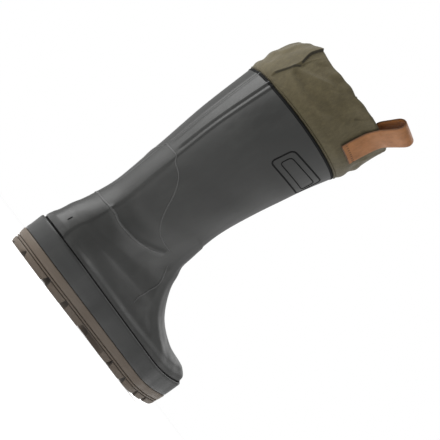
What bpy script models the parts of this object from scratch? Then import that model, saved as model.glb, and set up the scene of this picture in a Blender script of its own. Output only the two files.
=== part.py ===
"""Right winter boot: lugged outsole, dark tray midsole, hollow rubber upper, insole, cloth cuff, leather loop.

Metres, +Z up. The toe points to -Y and the inner side of the foot to +X. The origin is on the floor, on the
flat lug at the front of the heel block, under the leg.
"""
import math

import bmesh
import bpy
import numpy as np

# Sole
SOLE_LENGTH = 0.304
HEEL_HALF = 0.0424
WAIST_MEDIAL = 0.037
WAIST_LATERAL = 0.0442
BALL_MEDIAL = 0.0575
BALL_LATERAL = 0.0486
HEEL_TO_ORIGIN = 0.088
TOE_SPRING = 0.0125
SPRING_START = 0.66
OUTSOLE_TOP = 0.0189
TREAD_DEPTH = 0.0085
SIDE_FLARE = 0.0024
MEDIAL_LEAN = 0.0036

# Midsole tray and insole
FLOOR_THICKNESS = 0.005
FOXING_TOP = 0.0403
SPUR_DEPTH = 0.0022
SPUR_START = 0.35
INSOLE_THICKNESS = 0.004

# Upper
UPPER_WALL = 0.0026
INSTEP_HEIGHT = 0.1375
ANKLE_HALF = 0.0443
SHAFT_HEIGHT = 0.300
LEG_CENTRE = 0.0947
RIM_HALF_WIDTH = 0.0636
RIM_HALF_LENGTH = 0.0783
STAY_RAISE = 0.0012
SEAM_RADIUS = 0.0011
RIDGE_RADIUS = 0.0022
SEAM_LIFT = 0.0003
SEAM_FLAT = 1.6

# Cuff and pull loop
CUFF_HEIGHT = 0.0590
CUFF_WALL = 0.0018
CUFF_TUCK = 0.960
STRAP_WIDTH = 0.033
STRAP_THICKNESS = 0.0022
STRAP_FOOT = 0.038
STRAP_SHIFT = 0.007
STRAP_EASE = 0.0009
LOOP_DROP = 0.003
LOOP_REACH = 0.022
LOOP_GAP = 0.0105
LOOP_FLAT = 0.3
LOOP_TUCK = 0.007

CLEARANCE = 0.0003
SIDE_POINTS = 24
FAN_RINGS = 20
SMOOTH_ANGLE = 40


def table(columns, rows):
    """Columns of a short table by name."""
    return dict(zip(columns.split(), np.array(rows, float).T))


# Half widths along the sole
OUTLINE = table("along medial lateral", [
    (0.00, 1.05 * HEEL_HALF, HEEL_HALF),
    (0.14, 1.05 * HEEL_HALF, HEEL_HALF),
    (0.25, 0.98 * HEEL_HALF, 0.98 * HEEL_HALF),
    (0.38, 1.02 * WAIST_MEDIAL, 1.01 * WAIST_LATERAL),
    (0.46, 1.00 * WAIST_MEDIAL, 1.02 * WAIST_LATERAL),
    (0.55, 0.83 * BALL_MEDIAL, 0.96 * BALL_LATERAL),
    (0.62, 0.99 * BALL_MEDIAL, 1.00 * BALL_LATERAL),
    (0.70, 1.03 * BALL_MEDIAL, 1.00 * BALL_LATERAL),
    (0.80, 1.02 * BALL_MEDIAL, 0.88 * BALL_LATERAL),
    (0.90, 0.87 * BALL_MEDIAL, 0.77 * BALL_LATERAL),
    (1.00, 0.78 * BALL_MEDIAL, 0.98 * BALL_LATERAL),
])
HEEL_ROUND = {"medial": 0.23, "lateral": 0.14}
TOE_ROUND = {"medial": 0.31, "lateral": 0.16}

# Side of the outsole, as shares of its height and of the flare
OUTSOLE_SIDE = table("rise swell", [
    (0.000, -0.50), (0.055, 0.00), (0.320, 0.38), (0.345, 0.00), (0.385, 0.00), (0.410, 0.50), (0.930, 0.90),
    (1.000, 0.75),
])

# Side of the foxing, as shares of its height and of the flare
FOXING_SIDE = table("rise swell", [
    (0.00, 0.60), (0.08, 0.85), (0.70, 1.08), (0.94, 1.05), (1.00, 0.55),
])

# Rings of the foot: back and front are shares of the sole's length, rises are shares of the instep's height
# above the foxing, scale is against the sole's outline, half is against the ankle, and rounded runs from
# the sole's outline to an oval
FOOT = table("level back back_rise front front_rise scale half rounded shift", [
    (0.00, 0.0016, 0.000, 0.998, 0.000, 1.006, 1.130, 0.00, 0.0),
    (0.10, 0.0010, 0.038, 0.993, 0.064, 0.996, 1.130, 0.00, 0.0),
    (0.20, 0.0015, 0.090, 0.957, 0.150, 0.915, 1.130, 0.02, 0.0),
    (0.30, 0.0075, 0.151, 0.790, 0.262, 0.860, 1.106, 0.08, 0.0),
    (0.40, 0.0144, 0.223, 0.655, 0.405, 0.825, 1.084, 0.20, 0.01),
    (0.50, 0.0290, 0.326, 0.557, 0.671, 0.828, 0.957, 0.40, 0.06),
    (0.60, 0.0500, 0.511, 0.497, 1.000, 0.838, 0.980, 0.68, 0.03),
    (0.70, 0.0656, 0.820, 0.482, 1.353, 0.860, 1.000, 0.90, -0.006),
])

# Rings of the shaft: back and front are shares of the rim's half length from the leg's centre, rises are
# shares of the way from instep to rim, and half is against the rim
SHAFT = table("level back back_rise front front_rise half shift", [
    (0.80, -0.974, 0.200, 0.728, 0.508, 0.778, -0.009),
    (0.90, -1.026, 0.600, 0.847, 0.766, 0.884, -0.017),
    (1.00, -1.000, 0.982, 1.000, 1.018, 1.000, -0.017),
])

# Half width of the back stay against the ankle's half width
STAY = table("level half", [(0.00, 0.48), (0.30, 0.38), (0.60, 0.31), (0.80, 0.25), (1.00, 0.33)])

# Cuff: rises are shares of its height, the rest shares of the rim's half width
CUFF = table("rise side ends lean forward", [
    (0.03, -0.026, -0.021, 0.000, 0.000),
    (0.07, 0.020, 0.016, -0.005, 0.000),
    (0.20, 0.060, 0.045, -0.030, 0.000),
    (0.46, 0.050, 0.050, -0.075, -0.008),
    (0.78, 0.055, 0.020, -0.140, -0.018),
    (0.96, 0.075, -0.070, -0.215, -0.048),
    (1.00, 0.045, -0.105, -0.225, -0.056),
])

# Seams on the outer side of the upper: level of the fan and share of the half turn from back to front
FINE_SEAM = table("level turn", [
    (0.808, 0.085), (0.795, 0.160), (0.765, 0.235), (0.725, 0.290), (0.680, 0.350), (0.645, 0.420),
    (0.622, 0.490), (0.606, 0.560),
])
BROAD_RIDGE = table("level turn", [
    (0.618, 0.150), (0.600, 0.210), (0.586, 0.290), (0.577, 0.370), (0.573, 0.450),
])
INSTEP_SEAM = table("level turn", [
    (0.560, 0.625), (0.500, 0.650), (0.433, 0.600), (0.367, 0.550), (0.300, 0.510),
])

# Grooves of the tread: along is a share of the length, across a share of the half width, inner side
# positive; widths and depth are shares of the tread's depth; a group's cutters never meet
GROOVES = table("group along across to_along to_across width to_width depth", [
    (0, 0.020, 0.62, 0.070, 0.42, 0.72, 1.16, 0.90),
    (0, 0.012, -0.55, 0.070, -0.14, 0.72, 1.28, 0.90),
    (0, 0.090, 1.25, 0.108, 0.44, 0.72, 1.34, 0.92),
    (0, 0.197, 1.25, 0.216, 0.50, 0.72, 1.16, 0.92),
    (0, 0.074, -1.00, 0.121, -0.50, 0.84, 1.28, 0.90),
    (0, 0.197, -1.00, 0.223, -0.40, 1.14, 1.28, 0.90),
    (0, 0.252, -0.22, 0.330, -0.42, 0.96, 1.16, 0.93),
    (0, 0.242, 0.50, 0.330, 0.32, 0.84, 0.73, 0.93),
    (0, 0.480, 1.00, 0.544, 0.38, 0.96, 1.46, 0.80),
    (0, 0.480, 0.22, 0.553, 0.02, 0.60, 1.04, 0.80),
    (0, 0.480, -0.10, 0.535, -0.42, 0.72, 1.16, 0.80),
    (0, 0.558, -0.97, 0.618, -0.54, 0.72, 1.28, 0.91),
    (0, 0.664, -0.98, 0.711, -0.56, 0.72, 1.16, 0.91),
    (0, 0.786, -1.00, 0.800, -0.56, 0.72, 1.16, 0.91),
    (0, 0.868, -1.05, 0.885, -0.58, 0.72, 0.98, 0.91),
    (0, 0.560, 1.25, 0.620, 0.60, 0.84, 1.28, 0.94),
    (0, 0.666, 1.25, 0.704, 0.66, 0.72, 1.16, 0.94),
    (0, 0.762, 1.25, 0.790, 0.58, 0.72, 1.16, 0.94),
    (0, 0.846, 1.25, 0.868, 0.58, 0.72, 0.98, 0.94),
    (0, 0.898, 1.40, 0.914, 0.54, 0.60, 0.85, 0.94),
    (0, 0.980, 1.50, 0.938, 0.24, 0.60, 0.73, 0.94),
    (0, 1.015, -0.30, 0.956, -0.20, 0.60, 0.73, 0.94),
    (1, 0.150, -0.58, 0.202, -0.74, 0.33, 0.83, 0.86),
    (1, 0.254, -0.66, 0.330, -0.64, 0.50, 0.50, 0.86),
    (1, 0.249, 0.79, 0.330, 0.82, 0.66, 0.66, 0.86),
    (1, 0.115, 0.64, 0.188, 0.64, 0.50, 0.88, 0.86),
    (1, 0.524, -0.58, 0.582, -0.74, 0.39, 0.39, 0.75),
    (1, 0.625, -0.77, 0.689, -0.84, 0.28, 0.39, 0.70),
    (1, 0.718, -0.84, 0.790, -0.88, 0.28, 0.39, 0.70),
    (1, 0.612, 0.88, 0.659, 0.84, 0.33, 0.39, 0.70),
    (1, 0.708, 0.84, 0.755, 0.85, 0.33, 0.39, 0.70),
    (1, 0.778, 0.74, 0.825, 0.72, 0.33, 0.39, 0.70),
])
HEEL_PANEL = table("along across", [
    (0.098, 0.00), (0.111, 0.29), (0.148, 0.39), (0.180, 0.39), (0.233, 0.27), (0.233, -0.31),
    (0.180, -0.41), (0.148, -0.41), (0.111, -0.30),
])
FORE_PANEL = table("along across", [
    (0.564, 0.00), (0.669, 0.53), (0.692, 0.56), (0.776, 0.46), (0.833, 0.48), (0.897, 0.47),
    (0.914, -0.30), (0.841, -0.47), (0.800, -0.41), (0.744, -0.38), (0.692, -0.50), (0.655, -0.47),
])
STUDS = table("along across", [
    (0.135, 0.08), (0.178, 0.19), (0.178, -0.16), (0.212, 0.03),
    (0.602, 0.00), (0.635, 0.18), (0.635, -0.20), (0.686, 0.32), (0.702, 0.05), (0.686, -0.28),
    (0.739, 0.25), (0.747, -0.15), (0.784, 0.30), (0.777, 0.06), (0.817, 0.12), (0.810, -0.18),
    (0.848, 0.30), (0.860, -0.15), (0.888, 0.16),
])
PANEL_DEPTH = 0.80
PANEL_FLOOR = 0.46
PANEL_LINE = 0.20
STUD_FOOT = 0.0044
STUD_TIP = 0.0026
STUD_RISE = 0.10
STUD_SIDES = 8
OVERLAP = 0.12
GROOVE_FOOT = 1.15
GROOVE_ROOF = 0.80

# Shank hollow: across is a share of the half width at the waist, depth a share of the tread's depth
SHANK = table("across depth", [
    (1.60, 1.50), (1.00, 1.40), (0.46, 0.98), (-0.28, 0.98), (-0.32, 1.22), (-0.97, 0.72), (-1.60, 0.70),
])
SHANK_START = 0.322
SHANK_END = 0.492

MATERIALS = {
    "outsole": ((0.091, 0.072, 0.055), 0.62),
    "midsole": ((0.040, 0.044, 0.041), 0.55),
    "upper": ((0.075, 0.076, 0.073), 0.45),
    "insole": ((0.120, 0.120, 0.115), 0.95),
    "cuff": ((0.098, 0.090, 0.056), 0.90),
    "pull_loop": ((0.300, 0.135, 0.060), 0.60),
}


def smooth(x, xs, ys):
    """Monotone cubic curve through a table."""
    steps = np.diff(xs)
    slopes = np.diff(ys) / steps
    tangents = np.zeros(len(xs))
    tangents[0], tangents[-1] = slopes[0], slopes[-1]
    for i in range(1, len(xs) - 1):
        if slopes[i - 1] * slopes[i] > 0:
            first = 2 * steps[i] + steps[i - 1]
            second = steps[i] + 2 * steps[i - 1]
            tangents[i] = (first + second) / (first / slopes[i - 1] + second / slopes[i])
    k = np.clip(np.searchsorted(xs, x) - 1, 0, len(steps) - 1)
    h, t = steps[k], (x - xs[k]) / steps[k]
    return (
        ys[k] * (1 + 2 * t) * (1 - t) ** 2 + tangents[k] * h * t * (1 - t) ** 2
        + ys[k + 1] * t * t * (3 - 2 * t) + tangents[k + 1] * h * t * t * (t - 1)
    )


def half_width(along, side):
    """Half width of the sole's outline at a share of its length, on the medial or lateral side."""
    along = np.clip(np.asarray(along, float), 0, 1)
    heel = np.clip(1 - along / HEEL_ROUND[side], 0, 1)
    toe = np.clip(1 - (1 - along) / TOE_ROUND[side], 0, 1)
    return smooth(along, OUTLINE["along"], OUTLINE[side]) * np.sqrt(1 - heel ** 2) * np.sqrt(1 - toe ** 2)


def spring(forward):
    """Rise of the toe at a distance from the heel's back."""
    share = np.clip((np.asarray(forward) / SOLE_LENGTH - SPRING_START) / (1 - SPRING_START), 0, None)
    return TOE_SPRING * share ** 2


def place(across, forward, rise):
    """World points from across, forward of the heel's back, and height."""
    across, forward, rise = np.broadcast_arrays(across, forward, rise)
    return np.stack([across, HEEL_TO_ORIGIN - forward, rise], axis=-1)


def widen(plan, distance):
    """Move a closed plan outline outward along its normals."""
    tangent = np.roll(plan, -1, axis=0) - np.roll(plan, 1, axis=0)
    normal = np.stack([tangent[:, 1], -tangent[:, 0]], axis=1)
    normal /= np.linalg.norm(normal, axis=1, keepdims=True)
    outward = np.sign(np.sum(normal * (plan - plan.mean(axis=0))))
    return plan + normal * outward * np.asarray(distance).reshape(-1, 1)


def sole_outline():
    """Plan of the sole: heel back, medial side, toe, lateral side."""
    turn = np.linspace(0, math.pi, SIDE_POINTS + 2)
    along = (1 - np.cos(turn)) / 2
    medial = np.stack([half_width(along, "medial"), along * SOLE_LENGTH], axis=1)
    lateral = np.stack([-half_width(along, "lateral"), along * SOLE_LENGTH], axis=1)
    return np.concatenate([medial, lateral[-2:0:-1]])


def sprung(plan, rise):
    """Ring over a plan outline, lifted by the toe spring."""
    return place(plan[:, 0], plan[:, 1], rise + spring(plan[:, 1]))


def new_object(name, vertices, faces, recalculate=True):
    mesh = bpy.data.meshes.new(name)
    mesh.from_pydata([tuple(map(float, v)) for v in vertices], [], faces)
    if recalculate:
        shape = bmesh.new()
        shape.from_mesh(mesh)
        bmesh.ops.recalc_face_normals(shape, faces=shape.faces)
        shape.to_mesh(mesh)
        shape.free()
    piece = bpy.data.objects.new(name, mesh)
    bpy.context.collection.objects.link(piece)
    return piece


def loft(name, rings, ends=True):
    """Closed solid through rings; with no ends the last ring joins the first."""
    count = len(rings[0])
    faces = []
    for r in range(len(rings) - (1 if ends else 0)):
        low, high = r * count, (r + 1) % len(rings) * count
        for i in range(count):
            j = (i + 1) % count
            faces.append((low + i, low + j, high + j, high + i))
    for base in (0, (len(rings) - 1) * count) if ends else ():
        for i in range(count // 2):
            strip = (i, i + 1, count - i - 1, (count - i) % count)
            faces.append(tuple(base + k for k in dict.fromkeys(strip)))
    return new_object(name, np.concatenate(rings), faces)


def prism(low, high):
    """Vertices and faces of a solid between two plan polygons of world points."""
    count = len(low)
    faces = [(i, (i + 1) % count, count + (i + 1) % count, count + i) for i in range(count)]
    faces += [tuple(range(count))[::-1], tuple(range(count, 2 * count))]
    return np.concatenate([low, high]), faces


def gather(name, solids):
    """One object from several separate solids."""
    vertices, faces = [], []
    for points, sides in solids:
        faces += [tuple(len(vertices) + k for k in side) for side in sides]
        vertices += list(points)
    piece = new_object(name, vertices, faces)
    shape = bmesh.new()
    shape.from_mesh(piece.data)
    bmesh.ops.triangulate(shape, faces=shape.faces)
    bmesh.ops.recalc_face_normals(shape, faces=shape.faces)
    shape.to_mesh(piece.data)
    shape.free()
    return piece


def combine(piece, other, operation):
    """Boolean of a piece with a hidden helper."""
    other.hide_render = True
    other.display_type = "WIRE"
    modifier = piece.modifiers.new(other.name, "BOOLEAN")
    modifier.operation = operation
    modifier.solver = "EXACT"
    modifier.object = other


def on_tread(along, across):
    """Plan point from shares of the length and of the half width."""
    side = np.where(np.asarray(across) > 0, half_width(np.minimum(along, 0.985), "medial"),
                    half_width(np.minimum(along, 0.985), "lateral"))
    return np.stack([across * side, np.asarray(along) * SOLE_LENGTH], axis=-1)


def groove(row):
    """Tapered cutter along one row of the groove table."""
    start = on_tread(row["along"], row["across"])
    end = on_tread(row["to_along"], row["to_across"])
    direction = (end - start) / np.linalg.norm(end - start)
    across = np.array([-direction[1], direction[0]])
    solids = []
    for draft, rise in ((GROOVE_FOOT, -2 * OVERLAP), (GROOVE_ROOF, row["depth"])):
        near, far = across * row["width"] * draft / 2, across * row["to_width"] * draft / 2
        plan = np.array([start - near * TREAD_DEPTH, end - far * TREAD_DEPTH,
                         end + far * TREAD_DEPTH, start + near * TREAD_DEPTH])
        solids.append(sprung(plan, rise * TREAD_DEPTH))
    return prism(*solids)


def panel_plan(panel):
    return on_tread(panel["along"], panel["across"])


def stud(along, across):
    """Low cone with a flat tip."""
    centre = on_tread(along, across)
    turn = np.arange(STUD_SIDES) / STUD_SIDES * 2 * math.pi
    circle = np.stack([np.cos(turn), np.sin(turn)], axis=1)
    foot = sprung(centre + circle * STUD_FOOT, (PANEL_FLOOR + OVERLAP) * TREAD_DEPTH)
    tip = sprung(centre + circle * STUD_TIP, STUD_RISE * TREAD_DEPTH)
    return prism(tip, foot)


def shank_cutter():
    plan_x = np.where(SHANK["across"] > 0, WAIST_MEDIAL, WAIST_LATERAL) * SHANK["across"]
    sections = []
    for along in (SHANK_START, SHANK_END):
        forward = np.full(len(plan_x), along * SOLE_LENGTH)
        top = place(plan_x, forward, SHANK["depth"] * TREAD_DEPTH)
        floor = place(plan_x[[-1, 0]], forward[:2], -TREAD_DEPTH)
        sections.append(np.concatenate([top, floor]))
    return prism(*sections)


def outsole():
    plan = sole_outline()
    rings = [sprung(widen(plan, swell * SIDE_FLARE), rise * OUTSOLE_TOP)
             for rise, swell in zip(OUTSOLE_SIDE["rise"], OUTSOLE_SIDE["swell"])]
    piece = loft("outsole", rings)
    rows = [dict(zip(GROOVES, values)) for values in zip(*GROOVES.values())]
    for group in (0, 1):
        cutters = [groove(row) for row in rows if row["group"] == group]
        combine(piece, gather(f"grooves_{group}", cutters), "DIFFERENCE")
    combine(piece, gather("shank_hollow", [shank_cutter()]), "DIFFERENCE")
    panels = [panel_plan(HEEL_PANEL), panel_plan(FORE_PANEL)]
    cuts = [prism(sprung(p, -2 * OVERLAP * TREAD_DEPTH), sprung(p, PANEL_DEPTH * TREAD_DEPTH)) for p in panels]
    combine(piece, gather("panel_cuts", cuts), "DIFFERENCE")
    inner = [widen(p, -PANEL_LINE * TREAD_DEPTH) for p in panels]
    plinths = [prism(sprung(p, PANEL_FLOOR * TREAD_DEPTH), sprung(p, (PANEL_DEPTH + OVERLAP) * TREAD_DEPTH))
               for p in inner]
    combine(piece, gather("plinths", plinths), "UNION")
    studs = [stud(along, across) for along, across in zip(STUDS["along"], STUDS["across"])]
    combine(piece, gather("studs", studs), "UNION")
    return piece


def fan_values(level):
    """Driving values of one ring, from the foot's table to the shaft's."""
    instep, rim = INSTEP_HEIGHT - FOXING_TOP, SHAFT_HEIGHT - INSTEP_HEIGHT
    leg = lambda share: LEG_CENTRE + share * RIM_HALF_LENGTH
    columns = {
        "back": (FOOT["back"] * SOLE_LENGTH, leg(SHAFT["back"])),
        "low": (FOXING_TOP + FOOT["back_rise"] * instep, INSTEP_HEIGHT + SHAFT["back_rise"] * rim),
        "front": (FOOT["front"] * SOLE_LENGTH, leg(SHAFT["front"])),
        "high": (FOXING_TOP + FOOT["front_rise"] * instep, INSTEP_HEIGHT + SHAFT["front_rise"] * rim),
        "scale": (FOOT["scale"], np.full(3, FOOT["scale"][-1])),
        "half": (FOOT["half"] * ANKLE_HALF, SHAFT["half"] * RIM_HALF_WIDTH),
        "rounded": (FOOT["rounded"], np.ones(3)),
        "shift": (FOOT["shift"] * ANKLE_HALF, SHAFT["shift"] * RIM_HALF_WIDTH),
    }
    levels = np.concatenate([FOOT["level"], SHAFT["level"]])
    return {name: float(smooth(np.array([level]), levels, np.concatenate(pair))[0])
            for name, pair in columns.items()}


def fan_side(level, side, turn):
    """Points of one side of a ring, turn running from the back to the front over half a turn."""
    at = fan_values(level)
    share = (1 - np.cos(turn)) / 2
    forward = at["back"] + (at["front"] - at["back"]) * share
    reach = (at["front"] - at["back"]) / SOLE_LENGTH
    along = reach * share + (1 - reach) * share ** 2.4
    outline = half_width(along, side) * at["scale"]
    if side == "medial":
        outline = outline * (1 - MEDIAL_LEAN / HEEL_HALF)
    oval = np.sin(turn) * at["half"]
    across = (1 - at["rounded"]) * outline + at["rounded"] * oval
    across = at["shift"] + (across if side == "medial" else -across)
    rise = at["low"] + (at["high"] - at["low"]) * share + spring(forward) * (1 - at["rounded"])
    return place(across, forward, rise)


def fan_turns(level, side):
    """Turns of one side, with a pair at the edge of the back stay."""
    fine = np.linspace(0, math.pi / 2, 120)
    across = np.abs(fan_side(level, side, fine)[:, 0])
    half = float(smooth(np.array([level]), STAY["level"], STAY["half"])[0]) * ANKLE_HALF
    edge, step = np.interp([half, half + STAY_RAISE], across, fine)
    rest = np.linspace(step, math.pi, SIDE_POINTS - 1)
    return np.concatenate([[0, edge / 2, edge], rest])


def fan_ring(level):
    medial = fan_side(level, "medial", fan_turns(level, "medial"))
    lateral = fan_side(level, "lateral", fan_turns(level, "lateral"))
    return np.concatenate([medial, lateral[-2:0:-1]])


def upper_rings(levels):
    """Rings of the upper's outer face, with the upright stretch inside the foxing first."""
    rings = [fan_ring(level) for level in levels]
    base = rings[0].copy()
    base[:, 2] = OUTSOLE_TOP + CLEARANCE + FLOOR_THICKNESS + CLEARANCE + spring(HEEL_TO_ORIGIN - base[:, 1])
    return np.array([base] + rings)


def grid_normals(grid):
    around = np.roll(grid, -1, axis=1) - np.roll(grid, 1, axis=1)
    upward = np.gradient(grid, axis=0)
    normal = np.cross(around, upward)
    normal /= np.linalg.norm(normal, axis=2, keepdims=True)
    outward = np.sign(np.sum(normal[..., :2] * (grid - grid.mean(axis=1, keepdims=True))[..., :2]))
    return normal * outward


def stay_mask(grid):
    """One on the back stay's points, zero elsewhere, fading out inside the foxing."""
    count = grid.shape[1]
    mask = np.zeros(grid.shape[:2])
    mask[2:, [0, 1, 2, count - 1, count - 2]] = 1
    return mask[..., None]


def surface_path(seam, samples):
    """Points and normals of the upper's outer side along a seam."""
    share = np.linspace(0, 1, samples)
    knots = np.linspace(0, 1, len(seam["level"]))
    levels, turns = smooth(share, knots, seam["level"]), smooth(share, knots, seam["turn"]) * math.pi
    nudge = 0.004
    points, normals = [], []
    for level, turn in zip(levels, turns):
        around = fan_side(level, "lateral", np.array([turn - nudge, turn, turn + nudge]))
        above = fan_side(level + nudge, "lateral", np.array([turn]))[0]
        normal = np.cross(around[2] - around[0], above - around[1])
        normal *= np.sign(normal @ (around[1] - place(0, HEEL_TO_ORIGIN - around[1][1], around[1][2])))
        points.append(around[1])
        normals.append(normal / np.linalg.norm(normal))
    return np.array(points), np.array(normals)


def bead(name, seam, radius, samples):
    """Tapered cord half sunk in the upper's face."""
    points, normals = surface_path(seam, samples)
    tangents = np.gradient(points, axis=0)
    tangents /= np.linalg.norm(tangents, axis=1, keepdims=True)
    sideways = np.cross(tangents, normals)
    turn = np.arange(6) / 6 * 2 * math.pi
    swell = np.sin(np.linspace(0.18, 0.82, samples) * math.pi) ** 0.5
    rings = [p + n * SEAM_LIFT + r * radius * (np.outer(np.cos(turn), s) * SEAM_FLAT + np.outer(np.sin(turn), n))
             for p, s, n, r in zip(points, sideways, normals, swell)]
    return loft(name, rings)


def upper():
    grid = upper_rings(np.linspace(0, 1, FAN_RINGS))
    normals = grid_normals(grid)
    outer = grid + normals * stay_mask(grid) * STAY_RAISE
    inner = grid - normals * UPPER_WALL
    inner[0, :, 2] = outer[0, :, 2]
    inner[-1] = outer[-1] - normals[-1] * [1, 1, 0] * (UPPER_WALL + stay_mask(grid)[-1] * STAY_RAISE)
    piece = loft("upper", list(outer) + list(inner[::-1]), ends=False)
    combine(piece, bead("fine_seam", FINE_SEAM, SEAM_RADIUS, 13), "UNION")
    combine(piece, bead("broad_ridge", BROAD_RIDGE, RIDGE_RADIUS, 7), "UNION")
    combine(piece, bead("instep_seam", INSTEP_SEAM, SEAM_RADIUS, 7), "UNION")
    return piece


def foot_plan():
    """Plan of the upper's foot edge."""
    base = fan_ring(0.0)
    return np.stack([base[:, 0], HEEL_TO_ORIGIN - base[:, 1]], axis=1)


def midsole():
    plan, seat = sole_outline(), widen(foot_plan(), CLEARANCE)
    low = OUTSOLE_TOP + CLEARANCE
    heel = np.clip(1 - plan[:, 1] / (HEEL_ROUND["lateral"] * SOLE_LENGTH), 0, 1) ** 0.5
    inner = np.clip(plan[:, 0] / HEEL_HALF, 0, 1)
    rings = []
    for rise, swell in zip(FOXING_SIDE["rise"], FOXING_SIDE["swell"]):
        spur = SPUR_DEPTH * heel * max(0.0, rise - SPUR_START)
        swell_out = swell * SIDE_FLARE - inner * rise * MEDIAL_LEAN + spur
        rings.append(sprung(widen(plan, swell_out), low + rise * (FOXING_TOP - low)))
    rings.append(sprung(seat, FOXING_TOP))
    rings.append(sprung(seat, low + FLOOR_THICKNESS))
    return loft("midsole", rings)


def insole():
    low = OUTSOLE_TOP + FLOOR_THICKNESS + 2 * CLEARANCE
    plan = widen(foot_plan(), -UPPER_WALL - 2 * CLEARANCE)
    edge = INSOLE_THICKNESS / 4
    rings = [sprung(widen(plan, -edge), low), sprung(plan, low + edge),
             sprung(plan, low + INSOLE_THICKNESS - edge), sprung(widen(plan, -edge), low + INSOLE_THICKNESS)]
    return loft("insole", rings)


def cuff_skin():
    """Rings of the cuff's outer face, from inside the shaft up over the rim."""
    grid = upper_rings(np.linspace(2 * CUFF_TUCK - 1, 1.0, 3))
    inside = grid - grid_normals(grid) * [1, 1, 0] * (UPPER_WALL + CLEARANCE)
    rings, rim = list(inside[-2:]), grid[-1]
    centre = place(SHAFT["shift"][-1] * RIM_HALF_WIDTH, LEG_CENTRE, SHAFT_HEIGHT)
    slope = (SHAFT["front_rise"][-1] - SHAFT["back_rise"][-1]) * (SHAFT_HEIGHT - INSTEP_HEIGHT)
    for values in zip(*CUFF.values()):
        row = dict(zip(CUFF, values))
        moved = row["forward"] * RIM_HALF_WIDTH
        across = (rim[:, 0] - centre[0]) * (1 + row["side"]) + centre[0] + row["lean"] * RIM_HALF_WIDTH
        forward = (centre[1] - rim[:, 1]) * (1 + row["ends"] * RIM_HALF_WIDTH / RIM_HALF_LENGTH)
        rise = rim[:, 2] + row["rise"] * CUFF_HEIGHT + slope * moved / RIM_HALF_LENGTH / 2
        rings.append(place(across, LEG_CENTRE + forward + moved, rise))
    return np.array(rings)


def cuff():
    skin = cuff_skin()
    inner = skin - grid_normals(skin) * CUFF_WALL
    inner[0] = skin[0] + (inner[0] - skin[0]) * [1, 1, 0]
    inner[-1, :, 2] = skin[-1, :, 2] - CUFF_WALL / 3
    return loft("cuff", list(skin) + list(inner[::-1]), ends=False)


def cuff_face(skin, forward, rise):
    """How far across the cuff's outer side lies at a distance forward and a height."""
    rises, sides = [], []
    for ring in skin:
        outer = ring[len(ring) // 2:]
        rises.append(np.interp(forward, (HEEL_TO_ORIGIN - outer[:, 1])[::-1], outer[::-1, 2]))
        sides.append(np.interp(forward, (HEEL_TO_ORIGIN - outer[:, 1])[::-1], outer[::-1, 0]))
    return np.interp(rise, rises, sides)


def pull_loop():
    """Strap laid on the cuff's outer side, folded out in a loop and tucked inside the top edge."""
    skin = cuff_skin()[3:]
    middle = LEG_CENTRE + STRAP_SHIFT
    edge = SHAFT_HEIGHT + CUFF_HEIGHT
    out = CLEARANCE + STRAP_THICKNESS / 2 + STRAP_EASE
    foot = np.linspace(edge - LOOP_DROP - STRAP_FOOT, edge - LOOP_DROP, 6)
    centre = [(cuff_face(skin, middle, z) - out, z, 1.0) for z in foot]
    root, lean, square = np.array(centre[-1][:2]), np.array([-0.69, 0.73]), np.array([0.73, 0.69])
    radius = (LOOP_GAP + STRAP_THICKNESS) / 2
    heart = root + lean * LOOP_REACH + square * radius
    for turn in np.linspace(-math.pi / 2, math.pi / 2, 7):
        point = heart + lean * radius * math.cos(turn) + square * radius * math.sin(turn)
        centre.append((*point, LOOP_FLAT))
    back = cuff_face(skin, middle, edge) + CUFF_WALL + out + STRAP_EASE
    centre += [(back, edge + 2 * CUFF_WALL, 0.8), (back, edge - LOOP_TUCK, 1.0)]
    line = np.array([point[:2] for point in centre])
    tangent = np.gradient(line, axis=0)
    tangent /= np.linalg.norm(tangent, axis=1, keepdims=True)
    normal = np.stack([-tangent[:, 1], tangent[:, 0]], axis=1) * STRAP_THICKNESS / 2
    across = middle + np.linspace(-0.5, 0.5, 6) * STRAP_WIDTH
    rings = []
    for (x, z, bend), (nx, nz) in zip(centre, normal):
        hug = bend * (np.array([cuff_face(skin, f, min(z, edge)) for f in across])
                      - cuff_face(skin, middle, min(z, edge)))
        front = place(x + hug - nx, across, z - nz)
        rear = place(x + hug + nx, across, z + nz)
        rings.append(np.concatenate([front, rear[::-1]]))
    return loft("pull_loop", rings)


def finish(piece):
    colour, roughness = MATERIALS[piece.name]
    material = bpy.data.materials.new(piece.name)
    material.use_nodes = True
    shader = material.node_tree.nodes["Principled BSDF"]
    shader.inputs["Base Color"].default_value = (*colour, 1)
    shader.inputs["Roughness"].default_value = roughness
    shader.inputs["Metallic"].default_value = 0
    piece.data.materials.append(material)
    if piece.name != "outsole":
        piece.data.shade_smooth()
        piece.data.set_sharp_from_angle(angle=math.radians(SMOOTH_ANGLE))


def main():
    for old in list(bpy.data.objects):
        bpy.data.objects.remove(old, do_unlink=True)
    for build in (outsole, midsole, upper, insole, cuff, pull_loop):
        finish(build())


main()
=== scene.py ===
"""Looks of the right winter boot: charcoal rubber foot and shaft, dark foxing, brown lugged sole, olive cloth
cuff and a tan leather loop. Metres, +Z up, the toe towards -Y and the inner side of the foot towards +X.
"""

import math

import bpy
import numpy as np
from mathutils import Matrix, Vector
from mathutils.bvhtree import BVHTree


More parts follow.
